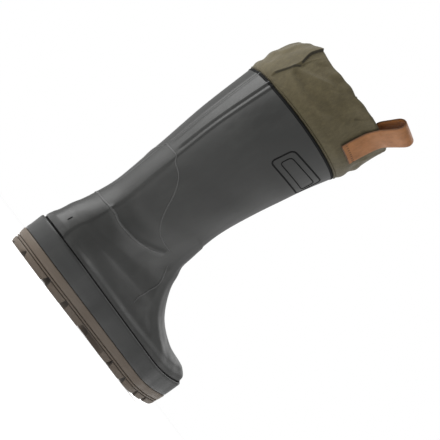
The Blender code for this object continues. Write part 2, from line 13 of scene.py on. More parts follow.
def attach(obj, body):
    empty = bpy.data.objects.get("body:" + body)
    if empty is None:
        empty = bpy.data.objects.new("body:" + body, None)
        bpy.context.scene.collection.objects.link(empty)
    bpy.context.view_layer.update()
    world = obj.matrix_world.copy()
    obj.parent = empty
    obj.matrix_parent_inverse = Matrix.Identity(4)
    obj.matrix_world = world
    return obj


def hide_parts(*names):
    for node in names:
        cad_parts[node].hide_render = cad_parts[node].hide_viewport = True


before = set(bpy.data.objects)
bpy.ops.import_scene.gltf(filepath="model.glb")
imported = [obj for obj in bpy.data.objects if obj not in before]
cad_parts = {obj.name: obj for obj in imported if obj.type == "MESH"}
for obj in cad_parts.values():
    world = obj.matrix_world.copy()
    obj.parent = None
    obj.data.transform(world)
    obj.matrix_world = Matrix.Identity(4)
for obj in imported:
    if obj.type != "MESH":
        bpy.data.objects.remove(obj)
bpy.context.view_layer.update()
MM = 0.001
SIDES = ("medial", "lateral")

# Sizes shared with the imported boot
SOLE_LENGTH = 0.304
HEEL_HALF = 0.0424
WAIST_MEDIAL = 0.037
WAIST_LATERAL = 0.0442
BALL_MEDIAL = 0.0575
BALL_LATERAL = 0.0486
HEEL_TO_ORIGIN = 0.088
TOE_SPRING = 0.0125
SPRING_START = 0.66
OUTSOLE_TOP = 0.0189
TREAD_DEPTH = 0.0085
SIDE_FLARE = 0.0024
MEDIAL_LEAN = 0.0036
FLOOR_THICKNESS = 0.005
FOXING_TOP = 0.0403
SPUR_DEPTH = 0.0022
SPUR_START = 0.35
INSOLE_THICKNESS = 0.004
UPPER_WALL = 0.0026
INSTEP_HEIGHT = 0.1375
ANKLE_HALF = 0.0443
SHAFT_HEIGHT = 0.300
LEG_CENTRE = 0.0947
RIM_HALF_WIDTH = 0.0636
RIM_HALF_LENGTH = 0.0783
STAY_RAISE = 0.0012
CUFF_HEIGHT = 0.0590
CUFF_WALL = 0.0018
CUFF_TUCK = 0.960
STRAP_WIDTH = 0.033
STRAP_THICKNESS = 0.0022
STRAP_FOOT = 0.038
STRAP_SHIFT = 0.007
STRAP_EASE = 0.0009
LOOP_DROP = 0.003
LOOP_REACH = 0.022
LOOP_GAP = 0.0105
LOOP_FLAT = 0.3
LOOP_TUCK = 0.007
LOOP_LEAN = (-0.69, 0.73)
CLEARANCE = 0.0003
CUFF_EDGE = SHAFT_HEIGHT + CUFF_HEIGHT
STRAP_MIDDLE = LEG_CENTRE + STRAP_SHIFT

# Fineness of the shown pieces; the cuff's columns crowd around its sharpest folds, in degrees from the back
SKIN_LEVELS = 240
STAY_COLUMNS = 18
REST_COLUMNS = 150
SOLE_ROWS = 420
SOLE_COLUMNS = 140
CUFF_ROWS = [(0.05, 0.14, 8), (0.152, 0.93, 68), (0.945, 1.0, 7)]
CUFF_COLUMNS = 480
CROWD_AT = 22
CROWD_SPAN = 35
CROWDING = 1.2

# Cloth of the cuff: mean radius, edge of a lap, width of the painted shade along its crease in millimetres,
# and the quiet span under the strap in degrees from the back
CUFF_RADIUS = 0.0715
LAP_STEP = (-0.0004, 0.0005)
FOLD_SHADE_WIDTH = 0.75
STRAP_AT = 88
STRAP_SPAN = 17
CUFF_RIPPLES = [(9, 0.7, 0.0005), (14, 2.2, 0.00035), (23, 1.1, 0.00025)]
EDGE_WAVES = [(5, 1.0, 0.0008), (8, 0.3, 0.00048)]
EDGE_DROP = 0.0008
BACK_LIFT = 0.0026
BACK_AT = 2
BACK_SPAN = 20
# Shares of the height over which folds, ripples and edge waves set in
FOLD_START = (0.05, 0.16)
RIPPLE_START = (0.35, 0.95)
WAVE_START = (0.6, 1.0)

# Ledge above the instep, and the slow waves of the whole skin
LEDGE_TOP = (0.1512, 0.1502)
LEDGE_RISE = (0.100, 0.145)
LEDGE_FORWARD = (0.085, 0.120)
LEDGE_SIDE = (0.040, 0.030)
LEDGE_RAISE = 0.0009
LEDGE_LEAST = 0.3
WAVES = [(61, 1.3), (47, 0.6), (53, 2.1)]
WAVE_RAISE = 0.0005

# Rounded rim of the skin: its lift, two steps inwards and the rows of the inner face under it
RIM_LIFT = 0.0006
RIM_STEPS = (0.0005, 0.0016)
RIM_ROWS = (-1, -6, -12)

# Round of the tread's edge, and round and stitches of the strap
TREAD_ROUND = 0.0019
STRAP_ROUND = 0.0011
STRAP_COLUMNS = 19
STITCH_RISE = 0.0030
STITCH_LENGTH = 0.0030
STITCH_SLANT = 0.12
STITCH_SIZE = (0.7, 0.35, 0.1)
STITCH_SHARES = np.linspace(-0.84, 0.84, 9)


def table(columns, rows):
    """Columns of a short table by name."""
    return dict(zip(columns.split(), np.array(rows, float).T))


OUTLINE = table("along medial lateral", [
    (0.00, 1.05 * HEEL_HALF, HEEL_HALF),
    (0.14, 1.05 * HEEL_HALF, HEEL_HALF),
    (0.25, 0.98 * HEEL_HALF, 0.98 * HEEL_HALF),
    (0.38, 1.02 * WAIST_MEDIAL, 1.01 * WAIST_LATERAL),
    (0.46, 1.00 * WAIST_MEDIAL, 1.02 * WAIST_LATERAL),
    (0.55, 0.83 * BALL_MEDIAL, 0.96 * BALL_LATERAL),
    (0.62, 0.99 * BALL_MEDIAL, 1.00 * BALL_LATERAL),
    (0.70, 1.03 * BALL_MEDIAL, 1.00 * BALL_LATERAL),
    (0.80, 1.02 * BALL_MEDIAL, 0.88 * BALL_LATERAL),
    (0.90, 0.87 * BALL_MEDIAL, 0.77 * BALL_LATERAL),
    (1.00, 0.78 * BALL_MEDIAL, 0.98 * BALL_LATERAL),
])
HEEL_ROUND = {"medial": 0.23, "lateral": 0.14}
TOE_ROUND = {"medial": 0.31, "lateral": 0.16}

OUTSOLE_SIDE = table("rise swell", [
    (0.060, 0.02), (0.110, 0.14), (0.200, 0.26), (0.300, 0.34), (0.350, 0.34), (0.362, 0.20),
    (0.370, -0.22), (0.390, -0.22), (0.398, 0.22), (0.420, 0.42), (0.490, 0.46), (0.505, 0.30),
    (0.512, -0.08), (0.532, -0.08), (0.540, 0.34), (0.560, 0.56), (0.700, 0.74), (0.930, 0.96),
    (0.975, 0.90), (1.000, 0.62),
])
# Heights of the two grooved lines along the side wall, which are also painted dark as shade
SIDE_LINES = [(0.366, 0.394), (0.508, 0.536)]
FOXING_SIDE = table("rise swell", [
    (0.000, 0.60), (0.020, 0.76), (0.080, 0.88), (0.300, 0.97), (0.600, 1.04), (0.850, 1.08), (0.930, 1.05),
    (0.975, 0.90), (1.000, 0.55),
])
FOOT = table("level back back_rise front front_rise scale half rounded shift", [
    (0.00, 0.0016, 0.000, 0.998, 0.000, 1.006, 1.130, 0.00, 0.0),
    (0.10, 0.0010, 0.038, 0.993, 0.064, 0.996, 1.130, 0.00, 0.0),
    (0.20, 0.0015, 0.090, 0.957, 0.150, 0.915, 1.130, 0.02, 0.0),
    (0.30, 0.0075, 0.151, 0.790, 0.262, 0.860, 1.106, 0.08, 0.0),
    (0.40, 0.0144, 0.223, 0.655, 0.405, 0.825, 1.084, 0.20, 0.01),
    (0.50, 0.0290, 0.326, 0.557, 0.671, 0.828, 0.957, 0.40, 0.06),
    (0.60, 0.0500, 0.511, 0.497, 1.000, 0.838, 0.980, 0.68, 0.03),
    (0.70, 0.0656, 0.820, 0.482, 1.353, 0.860, 1.000, 0.90, -0.006),
])
SHAFT = table("level back back_rise front front_rise half shift", [
    (0.80, -0.974, 0.200, 0.728, 0.508, 0.778, -0.009),
    (0.90, -1.026, 0.600, 0.847, 0.766, 0.884, -0.017),
    (1.00, -1.000, 0.982, 1.000, 1.018, 1.000, -0.017),
])
STAY = table("level half", [(0.00, 0.48), (0.30, 0.38), (0.60, 0.31), (0.80, 0.25), (1.00, 0.33)])
CUFF = table("rise side ends lean forward", [
    (0.03, -0.026, -0.021, 0.000, 0.000),
    (0.07, 0.020, 0.016, -0.005, 0.000),
    (0.20, 0.060, 0.045, -0.030, 0.000),
    (0.46, 0.050, 0.050, -0.075, -0.008),
    (0.78, 0.055, 0.020, -0.140, -0.018),
    (0.96, 0.075, -0.070, -0.215, -0.048),
    (1.00, 0.045, -0.105, -0.225, -0.056),
])
# Lower lip of the cuff, hanging a little over the rim
LIP = table("rise side ends lean forward", [
    (0.034, -0.004, -0.003, 0.000, 0.000),
    (0.036, 0.010, 0.009, 0.000, 0.000),
    (0.038, 0.022, 0.018, -0.002, 0.000),
])

# Soft forms of the upper: path points are across, forward and height in millimetres
FORMS = [
    (3.4, 1.0, [(-14, 21, 97), (-20, 25, 96), (-26, 32, 95), (-31, 42, 95), (-35, 54, 98), (-37, 66, 102),
                (-39, 78, 107), (-41, 90, 113)]),
    (9.0, -1.1, [(-27, 30, 112), (-33, 45, 113), (-37, 60, 118)]),
    (7.0, 0.7, [(-22, 29, 78), (-34, 52, 74), (-40, 80, 72)]),
    (8.0, -0.8, [(-37, 100, 96), (-36, 112, 84), (-38, 124, 70)]),
    (6.0, 0.8, [(-36, 118, 104), (-39, 130, 86), (-42, 138, 68)]),
    (7.0, -0.9, [(-30, 138, 122), (-12, 152, 124), (10, 152, 123), (28, 138, 120)]),
    (6.0, 0.7, [(-28, 142, 112), (-10, 160, 112), (12, 160, 111), (28, 144, 110)]),
    (12.0, -0.8, [(-40, 66, 170), (-44, 72, 200)]),
    (14.0, 0.7, [(-50, 80, 235), (-46, 120, 250)]),
    (9.0, -0.7, [(38, 60, 120), (40, 80, 118), (38, 100, 108)]),
    (8.0, 0.6, [(36, 50, 104), (40, 76, 98), (38, 104, 88)]),
    (10.0, -0.6, [(44, 90, 190), (46, 84, 226)]),
]

# Raised lines, as level of the fan and share of the half turn from the back
SEAMS = {
    "fine_seam": [(0.816, 0.062), (0.808, 0.085), (0.795, 0.160), (0.765, 0.235), (0.725, 0.290),
                  (0.680, 0.350), (0.645, 0.420), (0.622, 0.490), (0.606, 0.560)],
    "broad_ridge": [(0.623, 0.095), (0.618, 0.150), (0.600, 0.210), (0.586, 0.290), (0.577, 0.370),
                    (0.575, 0.450), (0.585, 0.520)],
    "instep_seam": [(0.560, 0.625), (0.500, 0.650), (0.433, 0.600), (0.367, 0.550), (0.300, 0.510)],
}
BEAD_SIDES = 8
# Width and height of the raised lines in millimetres
SEAM_SIZES = {"fine_seam": (1.5, 0.36), "broad_ridge": (2.2, 0.36), "instep_seam": (1.9, 0.34)}
CROSS_SEAMS = {"fine_seam": 0.816, "broad_ridge": 0.623}
RIB = (0.0066, 0.0016, 0.00090)
RIB_GROOVE = (0.0035, 0.0010, 0.00070)
RIB_FOOT = 0.818
SOFT_EDGE = (0.622, 0.816)
SOFT_RUN = 0.03
HEEL_SLIT = [(-7.5, 4, 55), (-7, 5, 61)]
SLIT_SIZE = (1.5, 0.25)
# Painted shadow beads in the joints: level, width and height at the rim, then offset, lift, width and height
# at the foot
RIM_SHADOW = (0.9982, 2.8, 0.36)
FOOT_SHADOW = (0.0003, 0.0005, 1.9, 0.36)
# Bare frame on the shaft: corners as forward and height in millimetres
BADGE = [(61, 250.5), (136, 261.5), (134, 288.5), (64, 276.5)]
# Inset, corner radius, width and height of its two outlines, near-black beads as painted shadow of the raised
# frame
BADGE_LINES = [(0, 6.0, 1.8, 0.40), (6.5, 4.2, 1.2, 0.40)]

GROOVES = table("along across to_along to_across width to_width depth", [
    (0.020, 0.62, 0.070, 0.42, 0.72, 1.16, 0.90),
    (0.012, -0.55, 0.070, -0.14, 0.72, 1.28, 0.90),
    (0.090, 1.25, 0.108, 0.44, 0.72, 1.34, 0.92),
    (0.197, 1.25, 0.216, 0.50, 0.72, 1.16, 0.92),
    (0.074, -1.00, 0.121, -0.50, 0.84, 1.28, 0.90),
    (0.197, -1.00, 0.223, -0.40, 1.14, 1.28, 0.90),
    (0.252, -0.22, 0.330, -0.42, 0.96, 1.16, 0.93),
    (0.242, 0.50, 0.330, 0.32, 0.84, 0.73, 0.93),
    (0.480, 1.00, 0.544, 0.38, 0.96, 1.46, 0.80),
    (0.480, 0.22, 0.553, 0.02, 0.60, 1.04, 0.80),
    (0.480, -0.10, 0.535, -0.42, 0.72, 1.16, 0.80),
    (0.558, -0.97, 0.618, -0.54, 0.72, 1.28, 0.91),
    (0.664, -0.98, 0.711, -0.56, 0.72, 1.16, 0.91),
    (0.786, -1.00, 0.800, -0.56, 0.72, 1.16, 0.91),
    (0.868, -1.05, 0.885, -0.58, 0.72, 0.98, 0.91),
    (0.560, 1.25, 0.620, 0.60, 0.84, 1.28, 0.94),
    (0.666, 1.25, 0.704, 0.66, 0.72, 1.16, 0.94),
    (0.762, 1.25, 0.790, 0.58, 0.72, 1.16, 0.94),
    (0.846, 1.25, 0.868, 0.58, 0.72, 0.98, 0.94),
    (0.898, 1.40, 0.914, 0.54, 0.60, 0.85, 0.94),
    (0.980, 1.50, 0.938, 0.24, 0.60, 0.73, 0.94),
    (1.015, -0.30, 0.956, -0.20, 0.60, 0.73, 0.94),
    (0.150, -0.58, 0.202, -0.74, 0.33, 0.83, 0.86),
    (0.254, -0.66, 0.330, -0.64, 0.50, 0.50, 0.86),
    (0.249, 0.79, 0.330, 0.82, 0.66, 0.66, 0.86),
    (0.115, 0.64, 0.188, 0.64, 0.50, 0.88, 0.86),
    (0.524, -0.58, 0.582, -0.74, 0.39, 0.39, 0.75),
    (0.625, -0.77, 0.689, -0.84, 0.28, 0.39, 0.70),
    (0.718, -0.84, 0.790, -0.88, 0.28, 0.39, 0.70),
    (0.612, 0.88, 0.659, 0.84, 0.33, 0.39, 0.70),
    (0.708, 0.84, 0.755, 0.85, 0.33, 0.39, 0.70),
    (0.778, 0.74, 0.825, 0.72, 0.33, 0.39, 0.70),
])
HEEL_PANEL = [(0.098, 0.00), (0.111, 0.29), (0.148, 0.39), (0.180, 0.39), (0.233, 0.27), (0.233, -0.31),
              (0.180, -0.41), (0.148, -0.41), (0.111, -0.30)]
FORE_PANEL = [(0.564, 0.00), (0.669, 0.53), (0.692, 0.56), (0.776, 0.46), (0.833, 0.48), (0.897, 0.47),
              (0.914, -0.30), (0.841, -0.47), (0.800, -0.41), (0.744, -0.38), (0.692, -0.50), (0.655, -0.47)]
STUDS = [(0.135, 0.08), (0.178, 0.19), (0.178, -0.16), (0.212, 0.03), (0.602, 0.00), (0.635, 0.18),
         (0.635, -0.20), (0.686, 0.32), (0.702, 0.05), (0.686, -0.28), (0.739, 0.25), (0.747, -0.15),
         (0.784, 0.30), (0.777, 0.06), (0.817, 0.12), (0.810, -0.18), (0.848, 0.30), (0.860, -0.15),
         (0.888, 0.16)]
# Each panel with the width of the groove around it
PANELS = [(HEEL_PANEL, 0.0036), (FORE_PANEL, 0.0010)]
PANEL_DEPTH = 0.80
PANEL_FLOOR = 0.56
PANEL_EDGE = 0.0004
PANEL_STEP = (0.0015, 0.0028)
# Painted shade: extra darkening of the panel floors, and the fixed shade of the shank hollow
PANEL_SHADE = 0.45
SHANK_SHADE = 0.15
STUD_FOOT = 0.0052
STUD_RISE = 0.50
SHANK = table("across depth", [
    (-1.60, 0.70), (-0.97, 0.72), (-0.32, 1.22), (-0.28, 0.98), (0.46, 0.98), (1.00, 1.40), (1.60, 1.50),
])
# Where the shank starts and ends along the sole, and which way each end faces
SHANK_ENDS = [(0.322, 1), (0.492, -1)]

# Folds of the cuff: kind, width and height in millimetres, then points as degrees from the back towards the
# outer side and share of the cuff's height; a lap is a cloth edge lying over its neighbour
FOLDS = [
    ("lap", 9.0, 2.8, [(0.0, 1.06), (3.0, 0.84), (8.5, 0.63)]),
    ("lap", 8.0, 2.2, [(10.0, 0.57), (6.5, 0.39), (2.5, 0.19)]),
    ("ridge", 3.4, 2.3, [(10, 0.48), (18, 0.54), (27, 0.62), (36, 0.74), (43, 0.78)]),
    ("ridge", 4.6, -2.1, [(15, 0.46), (24, 0.43), (37, 0.45), (48, 0.55)]),
    ("ridge", 3.8, 1.7, [(11, 0.36), (22, 0.32), (34, 0.29), (45, 0.32), (56, 0.42)]),
    ("ridge", 5.5, -2.0, [(18, 0.86), (27, 0.82), (34, 0.90)]),
    ("ridge", 6.0, -0.8, [(4, 0.14), (22, 0.16), (44, 0.14)]),
    ("ridge", 6.0, 0.8, [(-20, 1.04), (-17, 0.82), (-18, 0.60)]),
    ("ridge", 6.0, -1.1, [(-16, 0.96), (-14, 0.66), (-22, 0.42)]),
    ("ridge", 5.0, -1.6, [(50, 1.04), (54, 0.82), (63, 0.62)]),
    ("ridge", 5.0, 1.1, [(40, 1.04), (43, 0.90)]),
    ("ridge", 5.5, 1.0, [(60, 0.90), (66, 0.66), (74, 0.48)]),
    ("lap", 6.0, -1.5, [(74, 1.06), (73, 0.86), (70, 0.74)]),
    ("ridge", 6.0, -1.0, [(60, 0.24), (76, 0.20), (96, 0.16)]),
    ("lap", 8.0, 1.6, [(124, 1.06), (121, 0.82), (116, 0.62)]),
    ("ridge", 5.0, 1.3, [(116, 0.58), (126, 0.46), (142, 0.42), (156, 0.50)]),
    ("ridge", 5.5, -1.4, [(122, 0.38), (136, 0.30), (152, 0.34)]),
    ("ridge", 5.5, -1.4, [(140, 1.04), (143, 0.80), (150, 0.62)]),
    ("ridge", 5.0, 1.2, [(166, 1.04), (162, 0.78), (168, 0.52)]),
    ("lap", 7.0, 1.6, [(-172, 1.06), (-176, 0.80), (178, 0.60)]),
    ("ridge", 5.5, -1.3, [(174, 0.46), (-172, 0.36), (-154, 0.36)]),
    ("ridge", 5.0, 1.2, [(-170, 0.62), (-154, 0.52), (-138, 0.58)]),
    ("ridge", 5.5, -1.5, [(-146, 1.04), (-143, 0.82), (-134, 0.66)]),
    ("lap", 8.0, -1.7, [(-122, 1.06), (-118, 0.82), (-113, 0.60)]),
    ("ridge", 4.6, 1.3, [(-112, 0.54), (-100, 0.46), (-84, 0.50), (-72, 0.62)]),
    ("ridge", 5.5, -1.3, [(-108, 0.36), (-92, 0.30), (-74, 0.36)]),
    ("ridge", 5.5, -1.5, [(-94, 1.04), (-90, 0.82), (-80, 0.70)]),
    ("lap", 7.0, 1.6, [(-62, 1.06), (-60, 0.80), (-54, 0.62)]),
    ("ridge", 5.0, 1.2, [(-56, 0.54), (-44, 0.44), (-30, 0.46), (-18, 0.56)]),
    ("ridge", 5.0, -1.2, [(-50, 0.32), (-34, 0.26), (-18, 0.30)]),
    ("ridge", 5.5, -1.4, [(-38, 1.04), (-35, 0.80), (-28, 0.66)]),
]


def smooth(x, xs, ys):
    """Monotone cubic curve through a table."""
    xs, ys = np.asarray(xs, float), np.asarray(ys, float)
    steps = np.diff(xs)
    slopes = np.diff(ys) / steps
    tangents = np.zeros(len(xs))
    tangents[0], tangents[-1] = slopes[0], slopes[-1]
    for i in range(1, len(xs) - 1):
        if slopes[i - 1] * slopes[i] > 0:
            first = 2 * steps[i] + steps[i - 1]
            second = steps[i] + 2 * steps[i - 1]
            tangents[i] = (first + second) / (first / slopes[i - 1] + second / slopes[i])
    x = np.asarray(x, float)
    k = np.clip(np.searchsorted(xs, x) - 1, 0, len(steps) - 1)
    h, t = steps[k], (x - xs[k]) / steps[k]
    return (
        ys[k] * (1 + 2 * t) * (1 - t) ** 2 + tangents[k] * h * t * (1 - t) ** 2
        + ys[k + 1] * t * t * (3 - 2 * t) + tangents[k + 1] * h * t * t * (t - 1)
    )


def ease(x, low, high):
    """Smooth step from 0 at low to 1 at high."""
    t = np.clip((x - low) / (high - low), 0, 1)
    return t * t * (3 - 2 * t)


def half_width(along, side):
    along = np.clip(np.asarray(along, float), 0, 1)
    heel = np.clip(1 - along / HEEL_ROUND[side], 0, 1)
    toe = np.clip(1 - (1 - along) / TOE_ROUND[side], 0, 1)
    return smooth(along, OUTLINE["along"], OUTLINE[side]) * np.sqrt(1 - heel ** 2) * np.sqrt(1 - toe ** 2)


def spring(forward):
    share = np.clip((np.asarray(forward) / SOLE_LENGTH - SPRING_START) / (1 - SPRING_START), 0, None)
    return TOE_SPRING * share ** 2


def place(across, forward, rise):
    across, forward, rise = np.broadcast_arrays(across, forward, rise)
    return np.stack([across, HEEL_TO_ORIGIN - forward, rise], axis=-1)


def hand(points):
    """World points from across, forward and height in millimetres."""
    points = np.array(points, float) * MM
    return place(points[:, 0], points[:, 1], points[:, 2])


def unit(vectors):
    """Vectors at a length of one."""
    return vectors / np.maximum(np.linalg.norm(vectors, axis=-1, keepdims=True), 1e-12)


def run_length(points):
    """Distance along a path at each of its points."""
    return np.concatenate([[0], np.cumsum(np.linalg.norm(np.diff(points, axis=0), axis=1))])


def evenly(points, samples):
    """Points at even steps along a path, whose first two columns are its places."""
    along = run_length(points[:, :2])
    at = np.linspace(0, along[-1], samples)
    return np.stack([np.interp(at, along, column) for column in points.T], axis=1)


def both_sides(medial, lateral):
    """Closed ring from two sides that each run from the back to the front."""
    return np.concatenate([medial, lateral[-2:0:-1]])


def outward_of(plan, step):
    """Outward directions along a closed outline, from the points some steps before and after."""
    tangent = unit(np.roll(plan, -step, axis=0) - np.roll(plan, step, axis=0))
    normal = np.stack([tangent[:, 1], -tangent[:, 0]], axis=1)
    return normal * np.sign(np.sum(normal * (plan - plan.mean(axis=0))))


def widen(plan, distance):
    return plan + outward_of(plan, 1) * np.asarray(distance).reshape(-1, 1)


def sprung(plan, rise):
    return place(plan[:, 0], plan[:, 1], rise + spring(plan[:, 1]))


def curve(points, samples):
    """Evenly spaced points on a smooth curve through a few points."""
    points = np.asarray(points, float)
    chord = run_length(points)
    at = np.linspace(0, chord[-1], samples)
    return np.stack([smooth(at, chord, points[:, k]) for k in range(points.shape[1])], axis=1)


def distance_to(points, path):
    """Distance of each point to a polyline."""
    nearest = np.full(len(points), 1e9)
    for a, b in zip(path[:-1], path[1:]):
        run = b - a
        t = np.clip((points - a) @ run / max(run @ run, 1e-12), 0, 1)
        nearest = np.minimum(nearest, np.linalg.norm(points - a - t[:, None] * run, axis=1))
    return nearest


def add_object(name, data):
    made = bpy.data.objects.new(name, data)
    bpy.context.scene.collection.objects.link(made)
    return made


def mesh_piece(name, vertices, faces, node=None, material=None):
    mesh = bpy.data.meshes.new(name)
    mesh.from_pydata(np.asarray(vertices, float).tolist(), [], faces)
    mesh.shade_smooth()
    mesh.update()
    piece = add_object(name, mesh)
    if material is not None:
        mesh.materials.append(material)
    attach(piece, "root")
    if node:
        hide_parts(node)
    return piece


def mark(piece, name, values):
    """Values at the points of a piece, for its material."""
    attribute = piece.data.attributes.new(name, "FLOAT", "POINT")
    attribute.data.foreach_set("value", np.asarray(values).astype(np.float32).reshape(-1))


def grid_faces(rows, columns, closed=True, start=0):
    """Quads of a grid whose columns may close on themselves."""
    row, column = np.meshgrid(np.arange(rows - 1), np.arange(columns - (not closed)), indexing="ij")
    low, after = row * columns, (column + 1) % columns
    quads = np.stack([low + column, low + after, low + columns + after, low + columns + column], axis=-1)
    return (quads.reshape(-1, 4) + start).tolist()


def ring_faces(first, second):
    """Quads between two closed rings of vertex numbers."""
    return np.stack([first, np.roll(first, -1), np.roll(second, -1), second], axis=1).tolist()


def strip_cap(base, count):
    """Quads across a closed ring."""
    faces = []
    for i in range(count // 2):
        strip = (i, i + 1, count - i - 1, (count - i) % count)
        faces.append(tuple(base + k for k in dict.fromkeys(strip)))
    return faces


def grid_normals(grid):
    across = np.roll(grid, -1, axis=1) - np.roll(grid, 1, axis=1)
    normal = unit(np.cross(across, np.gradient(grid, axis=0)))
    return normal * np.sign(np.sum(normal[..., :2] * (grid - grid.mean(axis=1, keepdims=True))[..., :2]))


# Materials

def new_material(name, colour, roughness, **sockets):
    material = bpy.data.materials.new(name)
    material.use_nodes = True
    shader = material.node_tree.nodes["Principled BSDF"]
    shader.inputs["Base Color"].default_value = colour
    shader.inputs["Roughness"].default_value = roughness
    for socket, value in sockets.items():
        shader.inputs[socket.replace("_", " ")].default_value = value
    return material


class Paint:
    """Short ways to add texture nodes to a material."""

    def __init__(self, material):
        self.tree = material.node_tree
        self.shader = self.tree.nodes["Principled BSDF"]
        self.place = self.add("ShaderNodeTexCoord").outputs["Object"]

    def feed(self, socket, value):
        """A number, a colour or another node's output into a socket."""
        if isinstance(value, bpy.types.NodeSocket):
            self.tree.links.new(value, socket)
        else:
            socket.default_value = value

    def add(self, kind, inputs=None, **settings):
        made = self.tree.nodes.new(kind)
        for key, value in settings.items():
            setattr(made, key, value)
        for key, value in (inputs or {}).items():
            self.feed(made.inputs[key], value)
        return made

    def drive(self, socket, value):
        self.feed(self.shader.inputs[socket], value)

    def noise(self, scale, detail=3.0, rough=0.55, stretch=(1, 1, 1)):
        where = self.add("ShaderNodeMapping", {"Scale": stretch, "Vector": self.place}).outputs["Vector"]
        inputs = {"Scale": scale, "Detail": detail, "Roughness": rough, "Vector": where}
        return self.add("ShaderNodeTexNoise", inputs).outputs["Fac"]

    def span(self, value, low, high, to_low=0.0, to_high=1.0):
        inputs = {"Value": value, "From Min": low, "From Max": high, "To Min": to_low, "To Max": to_high}
        return self.add("ShaderNodeMapRange", inputs).outputs["Result"]

    def math(self, operation, a, b):
        return self.add("ShaderNodeMath", {0: a, 1: b}, operation=operation).outputs[0]

    def mix(self, share, first, second):
        return self.add("ShaderNodeMix", {0: share, 6: first, 7: second}, data_type="RGBA").outputs[2]

    def attribute(self, name):
        return self.add("ShaderNodeAttribute", attribute_name=name).outputs["Fac"]

    def bump(self, heights):
        """Bumps from (height, strength, distance) rows, one over the other."""
        under = {}
        for value, strength, distance in heights:
            inputs = {"Strength": strength, "Distance": distance, "Height": value, **under}
            under = {"Normal": self.add("ShaderNodeBump", inputs).outputs["Normal"]}
        self.drive("Normal", under["Normal"])


def rubber(name, colour, dusty, roughness, spread, grain=0.22, hollow_shade=None):
    """Moulded rubber: faint grain, uneven sheen, pale dust and, on the tread, painted shade in its hollows.
    """
    material = new_material(name, colour, roughness)
    paint = Paint(material)
    cloud = paint.noise(14, 4.0, 0.6)
    smear = paint.noise(60, 5.0, 0.65, (1, 1, 0.35))
    dust = paint.math("MULTIPLY", paint.span(cloud, 0.42, 0.72), paint.span(smear, 0.40, 0.75, 0.0, spread))
    tone = paint.mix(dust, colour, dusty)
    if hollow_shade:
        # Painted shade: the tread's hollows darken by its 'depth' attribute, which holds painted shade and
        # not depth
        painted_shade = [c * hollow_shade for c in colour[:3]] + [1.0]
        tone = paint.mix(paint.span(paint.attribute("depth"), 0.05, 0.85), tone, painted_shade)
    paint.drive("Base Color", tone)
    paint.drive("Roughness", paint.span(smear, 0.3, 0.7, roughness - 0.05, roughness + 0.09))
    scratch = paint.noise(420, 2.0, 0.5, (0.25, 1, 1.6))
    paint.bump([(cloud, 0.12, 0.0014), (paint.span(scratch, 0.62, 0.72), 0.10, 0.0002),
                (paint.noise(900, 4.0, 0.6), grain, 0.0004)])
    return material


def cloth(name, colour, pale, weave=0.55):
    """Tight plain weave with faded patches, small creases and painted shade along the folds a piece marks."""
    material = new_material(name, colour, 0.84, Sheen_Weight=0.07, Sheen_Roughness=0.5)
    paint = Paint(material)
    fade = paint.noise(26, 5.0, 0.65)
    slub = paint.noise(340, 4.0, 0.65, (1, 1, 0.45))
    thread = paint.noise(1150, 2.0, 0.5, (1, 1, 2.4))
    cross = paint.noise(1150, 2.0, 0.5, (2.4, 2.4, 0.7))
    fine = paint.math("ADD", paint.math("MULTIPLY", thread, 0.5), paint.math("MULTIPLY", cross, 0.5))
    faded = paint.span(fade, 0.35, 0.75, 0.05, 0.45)
    share = paint.math("ADD", faded, paint.span(slub, 0.35, 0.65, -0.22, 0.28))
    share = paint.math("ADD", share, paint.span(fine, 0.38, 0.62, -0.22, 0.28))
    dark = [c * 0.28 for c in colour[:3]] + [1.0]
    # Painted shade: marked folds darken towards a deep shade of the colour
    tone = paint.mix(paint.attribute("fold_shade"), paint.mix(share, colour, pale), dark)
    paint.drive("Base Color", tone)
    rumple = paint.noise(75, 5.0, 0.62, (1, 1, 0.6))
    paint.bump([(rumple, 0.38, 0.0018), (slub, 0.30, 0.0006), (fine, weave, 0.0004)])
    return material


def leather(name, colour, dark):
    material = new_material(name, colour, 0.52, Specular_IOR_Level=0.32)
    paint = Paint(material)
    cloud = paint.noise(90, 5.0, 0.65)
    streak = paint.noise(420, 4.0, 0.6, (1, 1, 0.22))
    worn = paint.math("MULTIPLY", paint.span(cloud, 0.35, 0.75), paint.span(streak, 0.3, 0.8, 0.2, 1.0))
    tone = paint.mix(worn, colour, dark)
    edge = [c * 0.45 for c in dark[:3]] + [1.0]
    tone = paint.mix(paint.attribute("edge"), tone, edge)
    paint.drive("Base Color", tone)
    paint.drive("Roughness", paint.span(cloud, 0.3, 0.7, 0.44, 0.62))
    pores = paint.add("ShaderNodeTexVoronoi", {"Scale": 1500, "Vector": paint.place}).outputs["Distance"]
    paint.bump([(cloud, 0.25, 0.0008), (streak, 0.25, 0.0004), (pores, 0.35, 0.0003)])
    return material


UPPER_RUBBER = rubber("upper_rubber", [0.0150, 0.0154, 0.0142, 1.0], [0.068, 0.070, 0.064, 1.0], 0.44, 0.32)
FOXING_RUBBER = rubber("foxing_rubber", [0.0090, 0.0096, 0.0090, 1.0], [0.060, 0.060, 0.054, 1.0], 0.46, 0.35)
SOLE_RUBBER = rubber("sole_rubber", [0.086, 0.064, 0.045, 1.0], [0.150, 0.130, 0.105, 1.0], 0.55, 0.45,
                     0.32, 0.35)
# Paler than the upper's rubber, as a painted highlight along the raised seam lines
SEAM_HIGHLIGHT_RUBBER = rubber("seam_highlight_rubber", [0.040, 0.040, 0.039, 1.0], [0.095, 0.095, 0.090, 1.0], 0.42, 0.30)
